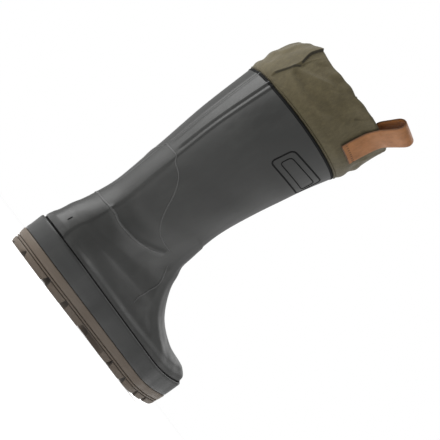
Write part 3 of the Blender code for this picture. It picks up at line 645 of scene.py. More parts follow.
# Near-black with little gloss, as painted shade: beads for the shadow along the frame, in the heel slit and
# in the joints
SHADE_LINE_RUBBER = new_material("shade_line_rubber", [0.0075, 0.0075, 0.0075, 1.0], 0.9, Specular_IOR_Level=0.12)
CUFF_CLOTH = cloth("cuff_cloth", [0.048, 0.038, 0.0152, 1.0], [0.088, 0.071, 0.031, 1.0])
LINING_CLOTH = cloth("lining_cloth", [0.045, 0.045, 0.043, 1.0], [0.075, 0.075, 0.070, 1.0])
INSOLE_FELT = cloth("insole_felt", [0.100, 0.100, 0.094, 1.0], [0.160, 0.160, 0.150, 1.0])
STRAP_LEATHER = leather("strap_leather", [0.245, 0.100, 0.031, 1.0], [0.115, 0.045, 0.014, 1.0])
THREAD = new_material("thread", [0.045, 0.022, 0.012, 1.0], 0.7)


# Upper

def fan_values(level):
    """Driving values of rings, from the foot's table to the shaft's."""
    instep, rim = INSTEP_HEIGHT - FOXING_TOP, SHAFT_HEIGHT - INSTEP_HEIGHT
    columns = {
        "back": (FOOT["back"] * SOLE_LENGTH, LEG_CENTRE + SHAFT["back"] * RIM_HALF_LENGTH),
        "low": (FOXING_TOP + FOOT["back_rise"] * instep, INSTEP_HEIGHT + SHAFT["back_rise"] * rim),
        "front": (FOOT["front"] * SOLE_LENGTH, LEG_CENTRE + SHAFT["front"] * RIM_HALF_LENGTH),
        "high": (FOXING_TOP + FOOT["front_rise"] * instep, INSTEP_HEIGHT + SHAFT["front_rise"] * rim),
        "scale": (FOOT["scale"], np.full(3, FOOT["scale"][-1])),
        "half": (FOOT["half"] * ANKLE_HALF, SHAFT["half"] * RIM_HALF_WIDTH),
        "rounded": (FOOT["rounded"], np.ones(3)),
        "shift": (FOOT["shift"] * ANKLE_HALF, SHAFT["shift"] * RIM_HALF_WIDTH),
    }
    levels = np.concatenate([FOOT["level"], SHAFT["level"]])
    return {name: float(smooth(level, levels, np.concatenate(pair))) for name, pair in columns.items()}


def fan_side(level, side, turn):
    """Points of one side of a ring, turn running from the back to the front over half a turn."""
    at = fan_values(level)
    share = (1 - np.cos(turn)) / 2
    forward = at["back"] + (at["front"] - at["back"]) * share
    reach = (at["front"] - at["back"]) / SOLE_LENGTH
    along = reach * share + (1 - reach) * share ** 2.4
    outline = half_width(along, side) * at["scale"]
    if side == "medial":
        outline = outline * (1 - MEDIAL_LEAN / HEEL_HALF)
    oval = np.sin(turn) * at["half"]
    across = (1 - at["rounded"]) * outline + at["rounded"] * oval
    across = at["shift"] + (across if side == "medial" else -across)
    rise = at["low"] + (at["high"] - at["low"]) * share + spring(forward) * (1 - at["rounded"])
    return place(across, forward, rise)


def fan_point(level, turn, side="lateral"):
    """Point at a level and a share of the half turn."""
    return fan_side(level, side, np.array([turn * math.pi]))[0]


def side_turns(level, side):
    """Turns of one side, with columns along both edges of the back stay's step."""
    fine = np.linspace(0, math.pi / 2, 200)
    across = np.abs(fan_side(level, side, fine)[:, 0])
    half = float(smooth(level, STAY["level"], STAY["half"])) * ANKLE_HALF
    edge, step = np.interp([half, half + STAY_RAISE], across, fine)
    return np.concatenate([np.linspace(0, edge, STAY_COLUMNS), [(edge + step) / 2],
                           np.linspace(step, math.pi, REST_COLUMNS)])


def plain_ring(level, points=60):
    turn = np.linspace(0, math.pi, points)
    return both_sides(fan_side(level, "medial", turn), fan_side(level, "lateral", turn))


def whole_ring(level, turn):
    """Ring at turns over a whole turn, from the back round the inner side."""
    half = np.minimum(turn, 2 * math.pi - turn)
    medial, lateral = (fan_side(level, side, half) for side in SIDES)
    return np.where((turn <= math.pi)[:, None], medial, lateral)


def base_ring(ring, rise):
    low = ring.copy()
    low[:, 2] = rise + spring(HEEL_TO_ORIGIN - low[:, 1])
    return low


def stay_relief(grid, levels):
    """Raise of the back stay with its step, rib and groove, over the whole grid."""
    half = grid.shape[1] // 2
    raised = np.zeros(grid.shape[:2])
    lengths = np.linalg.norm(np.roll(grid, -1, axis=1) - grid, axis=2)
    for r, level in enumerate(levels):
        ways = (lengths[r], lengths[r][::-1])
        medial, lateral = (np.concatenate([[0], np.cumsum(way)[:half]]) for way in ways)
        inside = both_sides(medial[STAY_COLUMNS - 1] - medial, lateral[STAY_COLUMNS - 1] - lateral)
        low, high = SOFT_EDGE
        soft = ease(level, low, low + SOFT_RUN) * ease(level, high, high - SOFT_RUN)
        step = STAY_RAISE * ease(inside, -0.0012 - 0.0030 * soft, 0.0002 + 0.0012 * soft)
        top = ease(level, RIB_FOOT, RIB_FOOT + 0.02)
        for (middle, radius, height), sign in ((RIB, 1), (RIB_GROOVE, -1)):
            step = step + sign * top * height * np.exp(-((inside - middle) / radius) ** 2)
        raised[r] = step * ease(level, 0.035, 0.06)
    return raised


def form_relief(grid, levels):
    """Raise of the soft forms, the slow waves and the ledge above the instep."""
    rows, columns = grid.shape[:2]
    flat = grid.reshape(-1, 3)
    raised = np.zeros(len(flat))
    for radius, height, points in FORMS:
        away = distance_to(flat, curve(hand(points), 24))
        raised += height * MM * np.exp(-(away / (radius * MM)) ** 2)
    raised = raised.reshape(rows, columns)
    waves = np.prod([np.sin(flat[:, k] * rate + start) for k, (rate, start) in enumerate(WAVES)], axis=0)
    raised += waves.reshape(rows, columns) * WAVE_RAISE * ease(levels, 0.05, 0.2)[:, None]
    ledge = ease(grid[..., 2], *LEDGE_TOP) * ease(HEEL_TO_ORIGIN - grid[..., 1], *LEDGE_FORWARD)
    beside = LEDGE_LEAST + (1 - LEDGE_LEAST) * ease(np.abs(grid[..., 0]), *LEDGE_SIDE)
    return raised + ledge * ease(grid[..., 2], *LEDGE_RISE) * beside * LEDGE_RAISE


def make_upper():
    """Outer skin over a rounded rim and the top of the inner face; gives the outer rows back."""
    levels = np.linspace(0, 1, SKIN_LEVELS)
    rings = [both_sides(*(fan_side(level, side, side_turns(level, side)) for side in SIDES))
             for level in levels]
    base = OUTSOLE_TOP + FLOOR_THICKNESS + 2 * CLEARANCE
    grid = np.array([base_ring(rings[0], base)] + rings)
    levels = np.concatenate([[0], levels])
    normals = grid_normals(grid)
    raised = stay_relief(grid, levels) + form_relief(grid, levels)
    raised[:2] *= 0
    skin = grid + normals * raised[..., None]
    rim = skin[-1] + [0, 0, RIM_LIFT]
    inward = normals[-1] * [1, 1, 0]
    over = [rim - inward * step for step in RIM_STEPS]
    inside = [grid[r] - normals[r] * UPPER_WALL for r in RIM_ROWS]
    whole = np.concatenate([skin, np.array(over + inside)])
    faces = grid_faces(len(whole), grid.shape[1])
    mesh_piece("upper_skin", whole.reshape(-1, 3), faces, "upper", UPPER_RUBBER)
    return skin


def make_lining():
    levels = np.concatenate([np.linspace(0.0, 0.3, 16), np.linspace(0.32, CUFF_TUCK - 0.004, 44)])
    rings = [plain_ring(level) for level in levels]
    base = base_ring(rings[0], OUTSOLE_TOP + FLOOR_THICKNESS + 2 * CLEARANCE + INSOLE_THICKNESS * 0.6)
    grid = np.array([base] + rings)
    normals = grid_normals(grid)
    normals[0] = normals[1]
    inner = grid - normals * (UPPER_WALL + 0.0004)
    faces = grid_faces(len(grid), grid.shape[1])
    mesh_piece("lining", inner.reshape(-1, 3), faces, None, LINING_CLOTH)


def snap(points, tree, rounds=2):
    """Points of a path moved onto a surface and evened out, with the surface's normals."""
    for turn in range(rounds):
        points = np.array([tree.find_nearest(Vector(p))[0] for p in points])
        if turn < rounds - 1:
            points[1:-1] = (points[:-2] + 2 * points[1:-1] + points[2:]) / 4
    normals = np.array([tree.find_nearest(Vector(p))[1] for p in points])
    for _ in range(3):
        normals[1:-1] = (normals[:-2] + normals[1:-1] + normals[2:]) / 3
    return points, unit(normals)


def bead(points, normals, width, height, sink=0.3, closed=False):
    """Vertices and faces of a low rounded line along a path, thinning out at open ends."""
    count, sides = len(points), BEAD_SIDES
    tangent = np.gradient(points, axis=0)
    if closed:
        tangent[0] = tangent[-1] = points[1] - points[-2]
    across = np.cross(unit(tangent), normals)
    turn = np.arange(sides) / sides * 2 * math.pi
    swell = np.clip(np.sin(np.linspace(0.03, 0.97, count) * math.pi) * 2.4, float(closed), 1)
    rings = [p - n * sink * height * MM + s * (np.outer(np.cos(turn), a) * width * MM / 2
                                               + np.outer(np.sin(turn), n) * height * MM)
             for p, n, a, s in zip(points, normals, across, swell)]
    end = count * sides
    faces = grid_faces(count, sides) + [tuple(range(sides)), tuple(range(end - sides, end))[::-1]]
    return np.concatenate(rings), faces


def join(name, solids, material):
    vertices, faces = [], []
    for points, sides in solids:
        faces += [tuple(len(vertices) + k for k in side) for side in sides]
        vertices += list(points)
    return mesh_piece(name, vertices, faces, None, material)


def on_fan(forward, rise):
    """Level and turn of a point on the outer side, from its forward place and height."""
    level, turn = 0.93, 0.55
    for _ in range(25):
        here, up = fan_point(level, turn), fan_point(level + 0.001, turn)
        beside = fan_point(level, turn + 0.001)
        miss = np.array([HEEL_TO_ORIGIN - here[1] - forward, here[2] - rise])
        slope = np.array([[here[1] - up[1], here[1] - beside[1]], [up[2] - here[2], beside[2] - here[2]]])
        level, turn = np.array([level, turn]) - np.linalg.solve(slope / 0.001, miss)
    return level, turn


def rounded_frame(corners, inset, radius):
    """Closed rounded outline of a four-sided frame, moved inwards."""
    corners = np.array(corners, float)
    sides = unit(np.roll(corners, -1, axis=0) - corners)
    normal = np.stack([-sides[:, 1], sides[:, 0]], axis=1)
    normal *= np.sign(np.sum(normal * (corners.mean(axis=0) - corners), axis=1))[:, None]
    outline = []
    for k, corner in enumerate(corners):
        lines = np.array([normal[k - 1], normal[k]])
        moved = np.linalg.solve(lines, lines @ corner + inset)
        for t in np.linspace(0, 1, 9):
            outline.append(moved + radius * (t ** 2 * sides[k] - (1 - t) ** 2 * sides[k - 1]))
    return evenly(np.array(outline + outline[:1]), 180)


def seam_path(knots, side, samples=90):
    line = curve(np.concatenate([np.array(knots), np.zeros((len(knots), 1))], axis=1), samples)
    return np.array([fan_point(level, turn, side) for level, turn, _ in line])


def make_seams(tree):
    lines = []
    for name, knots in SEAMS.items():
        paths = {side: seam_path(knots, side) for side in SIDES}
        if name in CROSS_SEAMS:
            turn = np.linspace(0, knots[0][1] * math.pi, 16)
            medial, lateral = (fan_side(CROSS_SEAMS[name], side, turn) for side in paths)
            joined = [paths["medial"][::-1], medial[-2::-1], lateral[1:-1], paths["lateral"]]
            paths = {"both": np.concatenate(joined)}
        for path in paths.values():
            points, normals = snap(path, tree, 3)
            lines.append(bead(points, normals, *SEAM_SIZES[name]))
    join("upper_seams", lines, SEAM_HIGHLIGHT_RUBBER)


def make_upper_lines(tree):
    """Painted shade as near-black beads: the outline of the bare frame, and the slit over the heel."""
    dark = []
    for inset, radius, width, height in BADGE_LINES:
        frame_line = (on_fan(f * MM, z * MM) for f, z in rounded_frame(BADGE, inset, radius))
        path = [fan_point(level, turn) for level, turn in frame_line]
        points, normals = snap(np.array(path), tree, 1)
        dark.append(bead(points, normals, width, height, closed=True))
    points, normals = snap(curve(hand(HEEL_SLIT), 12), tree)
    dark.append(bead(points, normals, *SLIT_SIZE))
    join("upper_shade_lines", dark, SHADE_LINE_RUBBER)


def make_shadow_rings(tree):
    """Painted shadow as near-black rings in the joints under the cuff and along the top of the foxing."""
    turn = np.linspace(0, 2 * math.pi, 361)
    level, *rim_size = RIM_SHADOW
    offset, lift, *foot_size = FOOT_SHADOW
    rim, rim_outward = snap(whole_ring(level, turn), tree, 1)
    foot = whole_ring(0.0, turn)
    outward = outward_of(np.stack([foot[:-1, 0], -foot[:-1, 1]], axis=1), 3)
    outward = place(outward[:, 0], outward[:, 1] + HEEL_TO_ORIGIN, 0)
    outward = np.concatenate([outward, outward[:1]])
    rings = [bead(rim, rim_outward, *rim_size, closed=True),
             bead(foot + outward * offset + [0, 0, lift], outward, *foot_size, closed=True)]
    join("shadow_lines", rings, SHADE_LINE_RUBBER)


# Sole

def outline_plan(points):
    along = (1 - np.cos(np.linspace(0, math.pi, points))) / 2
    return both_sides(*(np.stack([way * half_width(along, side), along * SOLE_LENGTH], axis=1)
                        for side, way in (("medial", 1), ("lateral", -1))))


def on_tread(along, across):
    medial, lateral = (half_width(np.minimum(along, 0.985), side) for side in SIDES)
    half = np.where(np.asarray(across) > 0, medial, lateral)
    return np.stack([across * half, np.asarray(along) * SOLE_LENGTH], axis=-1)


def inside_by(points, polygon):
    """How far inside a polygon points lie, negative outside."""
    edges = np.concatenate([polygon, polygon[:1]])
    away = distance_to(points, edges)
    odd = np.zeros(len(points), bool)
    for (ax, ay), (bx, by) in zip(edges[:-1], edges[1:]):
        crosses = (ay > points[:, 1]) != (by > points[:, 1])
        at = ax + (points[:, 1] - ay) / (by - ay if by != ay else 1e-9) * (bx - ax)
        odd ^= crosses & (points[:, 0] < at)
    return np.where(odd, away, -away)


def groove_depth(points, groove):
    """Depth of one groove, which runs between two places and changes its width on the way."""
    start = on_tread(groove["along"], groove["across"])
    run = on_tread(groove["to_along"], groove["to_across"]) - start
    long = np.linalg.norm(run)
    run = run / long
    along = (points - start) @ run
    off = np.abs((points - start) @ np.array([-run[1], run[0]]))
    share = np.clip(along / long, 0, 1)
    half = (groove["width"] + (groove["to_width"] - groove["width"]) * share) * TREAD_DEPTH / 2
    past_end = np.maximum(np.maximum(-along, along - long), 0)
    return groove["depth"] * ease(half + 0.0006 - np.hypot(off, past_end), -0.0010, 0.0022)


def tread_depth(points):
    """Depth of the tread at plan points, as a share of the tread's depth, and the painted shade of its
    hollows.
    """
    depth, panelled = np.zeros(len(points)), np.zeros(len(points))
    for values in zip(*GROOVES.values()):
        depth = np.maximum(depth, groove_depth(points, dict(zip(GROOVES, values))))
    for panel, ring in PANELS:
        inner = inside_by(points, on_tread(*np.array(panel).T))
        groove = PANEL_DEPTH * ease(inner, -ring, PANEL_EDGE)
        inside = ease(inner, *PANEL_STEP)
        floor = PANEL_DEPTH + (PANEL_FLOOR - PANEL_DEPTH) * inside
        depth = np.where(inner > PANEL_EDGE, floor, np.maximum(depth, groove))
        panelled = np.maximum(panelled, inside)
    for along, across in STUDS:
        away = np.linalg.norm(points - on_tread(along, across), axis=1) / STUD_FOOT
        dome = np.sqrt(np.clip(1 - away ** 2, 0, 1))
        depth = np.where(away < 1, depth - STUD_RISE * dome, depth)
    waist = np.where(points[:, 0] > 0, WAIST_MEDIAL, WAIST_LATERAL)
    hollow = np.interp(points[:, 0] / waist, SHANK["across"], SHANK["depth"])
    along = points[:, 1] / SOLE_LENGTH
    start, end = (ease(along, at - way * 0.003, at + way * 0.003) for at, way in SHANK_ENDS)
    inside = start * end
    # Painted shade: deeper places darker, panel floors darker still, the shank hollow at one fixed shade
    painted_shade = depth * (1 + PANEL_SHADE * panelled) * (1 - inside) + SHANK_SHADE * inside
    return np.maximum(depth, hollow * inside), painted_shade


def make_outsole():
    s = np.linspace(0, 1, SOLE_ROWS)
    along = 0.0005 + 0.999 * (0.45 * s + 0.55 * (1 - np.cos(math.pi * s)) / 2)
    u = np.linspace(-1, 1, SOLE_COLUMNS)
    medial, lateral = half_width(along, "medial"), half_width(along, "lateral")
    across = np.where(u[None] > 0, medial[:, None] * u[None], lateral[:, None] * u[None])
    forward = np.repeat(along[:, None] * SOLE_LENGTH, SOLE_COLUMNS, axis=1)
    plan = np.stack([across, forward], axis=-1).reshape(-1, 2)
    border = np.abs(inside_by(plan, outline_plan(240)))
    depth, painted_shade = tread_depth(plan)
    in_round = np.clip(TREAD_ROUND - border, 0, TREAD_ROUND)
    low = np.maximum(depth * TREAD_DEPTH, TREAD_ROUND - np.sqrt(TREAD_ROUND ** 2 - in_round ** 2))
    bottom = sprung(plan, 0) + np.stack([0 * low, 0 * low, low], axis=1)
    ids = np.arange(len(plan)).reshape(SOLE_ROWS, SOLE_COLUMNS)
    loop = np.concatenate([ids[:, -1], ids[-1, -2:0:-1], ids[::-1, 0], ids[0, 1:-1]])
    rim = plan[loop]
    rings, wall_shade = [], []
    outward = outward_of(rim, 3)
    for k, (rise, swell) in enumerate(zip(OUTSOLE_SIDE["rise"], OUTSOLE_SIDE["swell"])):
        height = np.maximum(rise * OUTSOLE_TOP, low[loop] + 0.00003 * (k + 1)) + spring(rim[:, 1])
        moved = rim + outward * swell * SIDE_FLARE
        rings.append(place(moved[:, 0], moved[:, 1], height))
        # Painted shade on the side wall: full in the two grooved lines, half where the tread's grooves reach
        # past a ring
        lined = any(start < rise < end for start, end in SIDE_LINES)
        wall_shade.append(np.where(low[loop] > rise * OUTSOLE_TOP, 0.5, float(lined)))
    count, base = len(loop), len(bottom)
    vertices = np.concatenate([bottom] + rings)
    faces = [face[::-1] for face in grid_faces(SOLE_ROWS, SOLE_COLUMNS, closed=False)]
    faces += ring_faces(loop, base + np.arange(count))
    faces += grid_faces(len(rings), count, start=base)
    faces.append(tuple(range(len(vertices) - count, len(vertices))))
    piece = mesh_piece("tread", vertices, faces, "outsole", SOLE_RUBBER)
    # The 'depth' attribute carries painted shade for the material, not the tread's depth
    mark(piece, "depth", np.concatenate([painted_shade] + wall_shade))


def make_foxing():
    plan = outline_plan(180)
    foot = plain_ring(0.0, 180)
    seat = widen(np.stack([foot[:, 0], HEEL_TO_ORIGIN - foot[:, 1]], axis=1), CLEARANCE)
    low = OUTSOLE_TOP + CLEARANCE
    heel = np.clip(1 - plan[:, 1] / (HEEL_ROUND["lateral"] * SOLE_LENGTH), 0, 1) ** 0.5
    inner = np.clip(plan[:, 0] / HEEL_HALF, 0, 1)
    rings = [sprung(widen(plan, -0.002), OUTSOLE_TOP - 0.0004)]
    for rise, swell in zip(FOXING_SIDE["rise"], FOXING_SIDE["swell"]):
        spur = SPUR_DEPTH * heel * max(0.0, rise - SPUR_START)
        out = swell * SIDE_FLARE - inner * rise * MEDIAL_LEAN + spur
        rings.append(sprung(widen(plan, out), low + rise * (FOXING_TOP - low)))
    rings.append(sprung(widen(seat, 0.0004), FOXING_TOP - 0.0001))
    rings.append(sprung(seat, FOXING_TOP - 0.0006))
    rings.append(sprung(seat, low + FLOOR_THICKNESS))
    count = len(plan)
    last = (len(rings) - 1) * count
    faces = grid_faces(len(rings), count) + strip_cap(0, count)[::-1] + strip_cap(last, count)
    mesh_piece("foxing", np.concatenate(rings), faces, "midsole", FOXING_RUBBER)


# Cuff and pull loop

def cuff_ring(rim, rise, columns=CUFF):
    centre = place(SHAFT["shift"][-1] * RIM_HALF_WIDTH, LEG_CENTRE, SHAFT_HEIGHT)
    slope = (SHAFT["front_rise"][-1] - SHAFT["back_rise"][-1]) * (SHAFT_HEIGHT - INSTEP_HEIGHT)
    row = {name: float(smooth(rise, columns["rise"], values)) for name, values in columns.items()}
    moved = row["forward"] * RIM_HALF_WIDTH
    across = (rim[:, 0] - centre[0]) * (1 + row["side"]) + centre[0] + row["lean"] * RIM_HALF_WIDTH
    forward = (centre[1] - rim[:, 1]) * (1 + row["ends"] * RIM_HALF_WIDTH / RIM_HALF_LENGTH)
    height = rim[:, 2] + rise * CUFF_HEIGHT + slope * moved / RIM_HALF_LENGTH / 2
    return place(across, LEG_CENTRE + forward + moved, height)


def tucked_ring(turn, level):
    """Ring on the shaft's inner face, just under the rim."""
    grid = np.array([whole_ring(at, turn) for at in (level - 0.01, level, min(level + 0.01, 1.0))])
    return grid[1] - grid_normals(grid)[1] * [1, 1, 0] * (UPPER_WALL + CLEARANCE)


def cuff_turns():
    """Turns around the cuff, closer together where its folds are sharp."""
    fine = np.linspace(0, 2 * math.pi, 2000)
    away = (np.degrees(fine) + CROWD_AT + 180) % 360 - 180
    dense = np.cumsum(1 + CROWDING * np.exp(-(away / CROWD_SPAN) ** 2))
    shares = (dense - dense[0]) / (dense[-1] - dense[0])
    return np.interp(np.linspace(0, 1, CUFF_COLUMNS, endpoint=False), shares, fine)


def fold_relief(shares, degrees):
    """Push of the folds at each row and column of the cuff, and the painted shade along the creases of its
    laps.
    """
    shape = (len(shares), len(degrees))
    pushed, fold_shade = np.zeros(len(shares) * len(degrees)), np.zeros(len(shares) * len(degrees))
    around = 2 * math.pi * CUFF_RADIUS
    grid = np.meshgrid(shares * CUFF_HEIGHT, np.radians(degrees) * CUFF_RADIUS, indexing="ij")
    flat = np.stack(grid, axis=-1).reshape(-1, 2)
    for kind, width, height, knots in FOLDS:
        knots = np.array(knots, float)
        turned = np.unwrap(np.radians(knots[:, 0])) * CUFF_RADIUS
        path = curve(np.stack([knots[:, 1] * CUFF_HEIGHT, turned], axis=1), 12)
        local = flat.copy()
        local[:, 1] = (flat[:, 1] - turned.mean() + around / 2) % around - around / 2 + turned.mean()
        near = np.abs(local[:, 1] - turned.mean()) < np.ptp(turned) / 2 + 4.5 * width * MM
        local = local[near]
        away = distance_to(local, path) / (width * MM)
        form = np.exp(-away ** 2)
        if kind == "lap":
            rising = path[::-1] if path[0, 0] > path[-1, 0] else path
            beside = np.interp(local[:, 0], *rising.T) - local[:, 1]
            form = np.exp(-away) * ease(beside, *LAP_STEP)
            # Painted shade along the lap's crease, deeper for taller laps
            dark = min(1.0, abs(height) / 2) * np.exp(-(away * width / FOLD_SHADE_WIDTH) ** 2)
            fold_shade[near] = np.maximum(fold_shade[near], dark)
        pushed[near] += height * MM * form
    return pushed.reshape(shape), fold_shade.reshape(shape)


def wave_sum(turn, waves):
    return sum(height * np.sin(turn * count + start) for count, start, height in waves)


def cuff_skin(turn):
    """Rings of the cuff's smooth outer face from its tuck to its edge, and their shares of its height."""
    rim = whole_ring(1.0, turn)
    rises = np.concatenate([np.linspace(*span) for span in CUFF_ROWS])
    rings = [tucked_ring(turn, level) for level in (CUFF_TUCK, 0.98, 0.998)] + [cuff_ring(rim, 0.03)]
    rings += [cuff_ring(rim, rise, LIP) for rise in LIP["rise"]] + [cuff_ring(rim, rise) for rise in rises]
    return np.array(rings), np.concatenate([[-0.2, -0.1, 0.0, 0.01], 0 * LIP["rise"] + 0.02, rises])


def make_cuff():
    turn = cuff_turns()
    skin, shares = cuff_skin(turn)
    degrees = (180 - np.degrees(turn)) % 360 - 180
    free = 1 - np.exp(-((degrees - STRAP_AT) / STRAP_SPAN) ** 6)
    fade = ease(shares, *FOLD_START)[:, None] * free
    pushed, fold_shade = (values * fade for values in fold_relief(shares, degrees))
    pushed += wave_sum(turn, CUFF_RIPPLES) * ease(shares, *RIPPLE_START)[:, None] * free
    skin += grid_normals(skin) * pushed[..., None]
    lift = BACK_LIFT * np.exp(-((degrees - BACK_AT) / BACK_SPAN) ** 2)
    waved = wave_sum(turn, EDGE_WAVES) - EDGE_DROP + lift
    skin[..., 2] += waved * free * ease(shares, *WAVE_START)[:, None]
    inner = skin - grid_normals(skin) * CUFF_WALL
    inner[0] = skin[0] + (inner[0] - skin[0]) * [1, 1, 0]
    top = (skin[-1] + inner[-1]) / 2 + [0, 0, 0.0005]
    inner[-1, :, 2] = skin[-1, :, 2] - CUFF_WALL / 4
    grid = np.concatenate([skin, top[None], inner[::-1]])
    first = np.arange(CUFF_COLUMNS)
    faces = grid_faces(len(grid), CUFF_COLUMNS) + ring_faces(first + (len(grid) - 1) * CUFF_COLUMNS, first)
    piece = mesh_piece("cuff_cloth", grid.reshape(-1, 3), faces, "cuff", CUFF_CLOTH)
    # Painted fold shade on the outer rows only
    mark(piece, "fold_shade", np.concatenate([fold_shade, np.zeros((len(grid) - len(skin), CUFF_COLUMNS))]))


def coarse_cuff():
    """Rings of the cuff's plain outer face, as the strap's seat."""
    rim = whole_ring(1.0, np.linspace(0, 2 * math.pi, 200, endpoint=False))
    return [cuff_ring(rim, rise) for rise in CUFF["rise"][1:]]


def cuff_face(seat, forward, rise):
    """Across place of the cuff's outer face at a forward place and some heights."""
    rises, sides = [], []
    for ring in seat:
        outer = ring[:len(ring) // 2 - 1:-1]
        places = HEEL_TO_ORIGIN - outer[:, 1]
        rises.append(np.interp(forward, places, outer[:, 2]))
        sides.append(np.interp(forward, places, outer[:, 0]))
    return np.interp(rise, rises, sides)


def strap_line(seat):
    """Centre line of the strap: across, height and how closely it hugs the cuff."""
    out = CLEARANCE + STRAP_THICKNESS / 2 + STRAP_EASE
    foot = np.linspace(CUFF_EDGE - LOOP_DROP - STRAP_FOOT, CUFF_EDGE - LOOP_DROP, 14)
    centre = [(cuff_face(seat, STRAP_MIDDLE, z) - out, z, 1.0) for z in foot]
    root, lean, square = np.array([centre[-1][:2], LOOP_LEAN, (LOOP_LEAN[1], -LOOP_LEAN[0])])
    radius = (LOOP_GAP + STRAP_THICKNESS) / 2
    heart = root + lean * LOOP_REACH + square * radius
    for share in (0.35, 0.7):
        centre.append((*(root + lean * LOOP_REACH * share), 1 - (1 - LOOP_FLAT) * share))
    for turn in np.linspace(-math.pi / 2, math.pi / 2, 15):
        point = heart + lean * radius * math.cos(turn) + square * radius * math.sin(turn)
        centre.append((*point, LOOP_FLAT))
    back = cuff_face(seat, STRAP_MIDDLE, CUFF_EDGE) + CUFF_WALL + out + STRAP_EASE
    centre += [(back, CUFF_EDGE + 2 * CUFF_WALL, 0.8), (back, CUFF_EDGE - LOOP_TUCK, 1.0)]
    line = evenly(np.array(centre), 120)
    for _ in range(14):
        line[1:-1] = (line[:-2] + 2 * line[1:-1] + line[2:]) / 4
    return line


def make_strap(seat):
    line = strap_line(seat)
    tangent = unit(np.gradient(line[:, :2], axis=0))
    normal = np.stack([-tangent[:, 1], tangent[:, 0]], axis=1) * STRAP_THICKNESS / 2
    wide = np.linspace(-1, 1, STRAP_COLUMNS)
    wide = np.concatenate([wide, wide[::-1]])
    half = STRAP_WIDTH / 2
    past = np.clip((np.abs(wide) - 1) * half / STRAP_ROUND + 1, 0, 1)
    lift = np.repeat([1, -1], STRAP_COLUMNS) * np.sqrt(1 - past ** 2)
    forward = STRAP_MIDDLE + wide * half
    rings = []
    for (x, z, bend), (nx, nz) in zip(line, normal):
        side = [cuff_face(seat, f, min(z, CUFF_EDGE)) for f in (*forward, STRAP_MIDDLE)]
        hug = bend * (np.array(side[:-1]) - side[-1])
        rings.append(place(x + hug - nx * lift, forward, z - nz * lift))
    thinner = (rings[0].mean(axis=0) - rings[0]) * [0.6, 0, 0.6]
    rings = [rings[0] + thinner + [0, 0, -0.0004]] + rings
    count, size = len(wide), len(wide) * len(rings)
    faces = grid_faces(len(rings), count) + [tuple(range(count))[::-1], tuple(range(size - count, size))]
    piece = mesh_piece("strap", np.concatenate(rings), faces, "pull_loop", STRAP_LEATHER)
    trim = np.tile(np.abs(wide) > 0.94, len(rings))
    trim[:2 * count] = True
    mark(piece, "edge", trim)


def make_stitches(seat):
    """Row of short upright stitches across the strap's foot."""
    low = CUFF_EDGE - LOOP_DROP - STRAP_FOOT + STITCH_RISE
    rises = np.linspace(low, low + STITCH_LENGTH, 5)
    stitches = []
    for share in STITCH_SHARES:
        forward = STRAP_MIDDLE + share * STRAP_WIDTH / 2
        across = cuff_face(seat, forward, rises) - CLEARANCE - STRAP_THICKNESS - STRAP_EASE
        points = place(across, forward + (rises - low) * STITCH_SLANT, rises)
        stitches.append(bead(points, np.tile([-1.0, 0, 0], (5, 1)), *STITCH_SIZE))
    join("strap_stitches", stitches, THREAD)


def dress_insole():
    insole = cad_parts["insole"]
    insole.data.materials.clear()
    insole.data.materials.append(INSOLE_FELT)


skin_grid = make_upper()
make_lining()
skin_points = [Vector(p) for p in skin_grid.reshape(-1, 3)]
skin_tree = BVHTree.FromPolygons(skin_points, grid_faces(len(skin_grid), skin_grid.shape[1]))
make_seams(skin_tree)
make_upper_lines(skin_tree)
make_shadow_rings(skin_tree)
make_outsole()
make_foxing()
make_cuff()
strap_seat = coarse_cuff()
make_strap(strap_seat)
make_stitches(strap_seat)
dress_insole()


# Floor, light and camera
TARGET = Vector((-0.010, -0.049, 0.184))
AZIMUTH = math.radians(220.6)
CAMERA_HEIGHT = 0.022
CAMERA_DISTANCE = 1.704
ROLL = math.radians(53)
LENS = 134.0


def add_floor():
    mesh = bpy.data.meshes.new("floor")
    mesh.from_pydata([(-6, -6, 0), (6, -6, 0), (6, 6, 0), (-6, 6, 0)], [], [(0, 1, 2, 3)])
    floor = add_object("floor", mesh)
    pale = {"Emission_Color": (1, 1, 1, 1), "Emission_Strength": 0.50}
    mesh.materials.append(new_material("floor", [0.90, 0.90, 0.90, 1.0], 0.9, **pale))


def add_light(name, direction, distance, size, power):
    """Square light that looks at the boot from a direction."""
    data = bpy.data.lights.new(name, "AREA")
    data.energy, data.size = power, size
    light = add_object(name, data)
    direction = direction.normalized()
    light.location = TARGET + direction * distance
    light.rotation_mode = "QUATERNION"
    light.rotation_quaternion = direction.to_track_quat("Z", "Y")


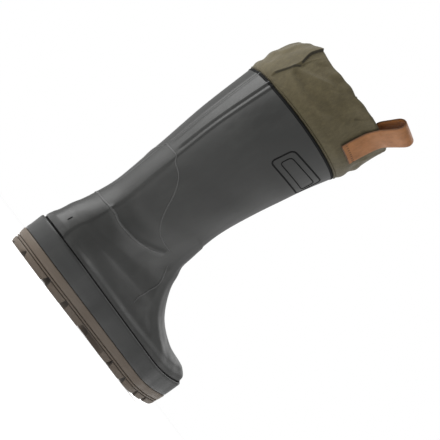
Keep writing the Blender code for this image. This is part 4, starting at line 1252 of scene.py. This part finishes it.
def add_camera():
    """Camera rolled about its view; gives its right, up and back directions."""
    data = bpy.data.cameras.new("camera")
    camera = add_object("camera", data)
    rise = (CAMERA_HEIGHT - TARGET.z) / CAMERA_DISTANCE
    level = math.sqrt(1 - rise ** 2)
    back = Vector((math.sin(AZIMUTH) * level, -math.cos(AZIMUTH) * level, rise))
    right = Vector((0, 0, 1)).cross(back).normalized()
    up = back.cross(right)
    rolled_right = right * math.cos(ROLL) + up * math.sin(ROLL)
    rolled_up = up * math.cos(ROLL) - right * math.sin(ROLL)
    axes = Matrix((rolled_right, rolled_up, back)).transposed().to_4x4()
    axes.translation = TARGET + back * CAMERA_DISTANCE
    camera.matrix_world = axes
    data.lens, data.sensor_width = LENS, 36
    data.clip_start, data.clip_end = 0.05, 50
    bpy.context.scene.camera = camera
    return rolled_right, rolled_up, back


add_floor()
right, up, back = add_camera()
add_light("key", Vector((0.60, 0.72, 0.46)), distance=1.9, size=1.6, power=42)
beside = right * 0.9 - up * 0.1 - back * 0.30 + Vector((0, 0, 0.6))
add_light("side", beside, distance=1.9, size=1.8, power=16)
add_light("front", Vector((0.5, -0.8, 0.9)), distance=2.2, size=2.2, power=16)


def add_world():
    """White backdrop for the camera over a softer grey light."""
    world = bpy.data.worlds.new("world")
    world.use_nodes = True
    tree = world.node_tree
    output = tree.nodes["World Output"]
    soft = tree.nodes["Background"]
    soft.inputs["Color"].default_value = (1, 1, 1, 1)
    soft.inputs["Strength"].default_value = 0.52
    white = tree.nodes.new("ShaderNodeBackground")
    white.inputs["Color"].default_value = (1, 1, 1, 1)
    path = tree.nodes.new("ShaderNodeLightPath")
    both = tree.nodes.new("ShaderNodeMixShader")
    tree.links.new(path.outputs["Is Camera Ray"], both.inputs[0])
    tree.links.new(soft.outputs[0], both.inputs[1])
    tree.links.new(white.outputs[0], both.inputs[2])
    tree.links.new(both.outputs[0], output.inputs["Surface"])
    bpy.context.scene.world = world


add_world()
bpy.context.scene.view_settings.view_transform = "Standard"
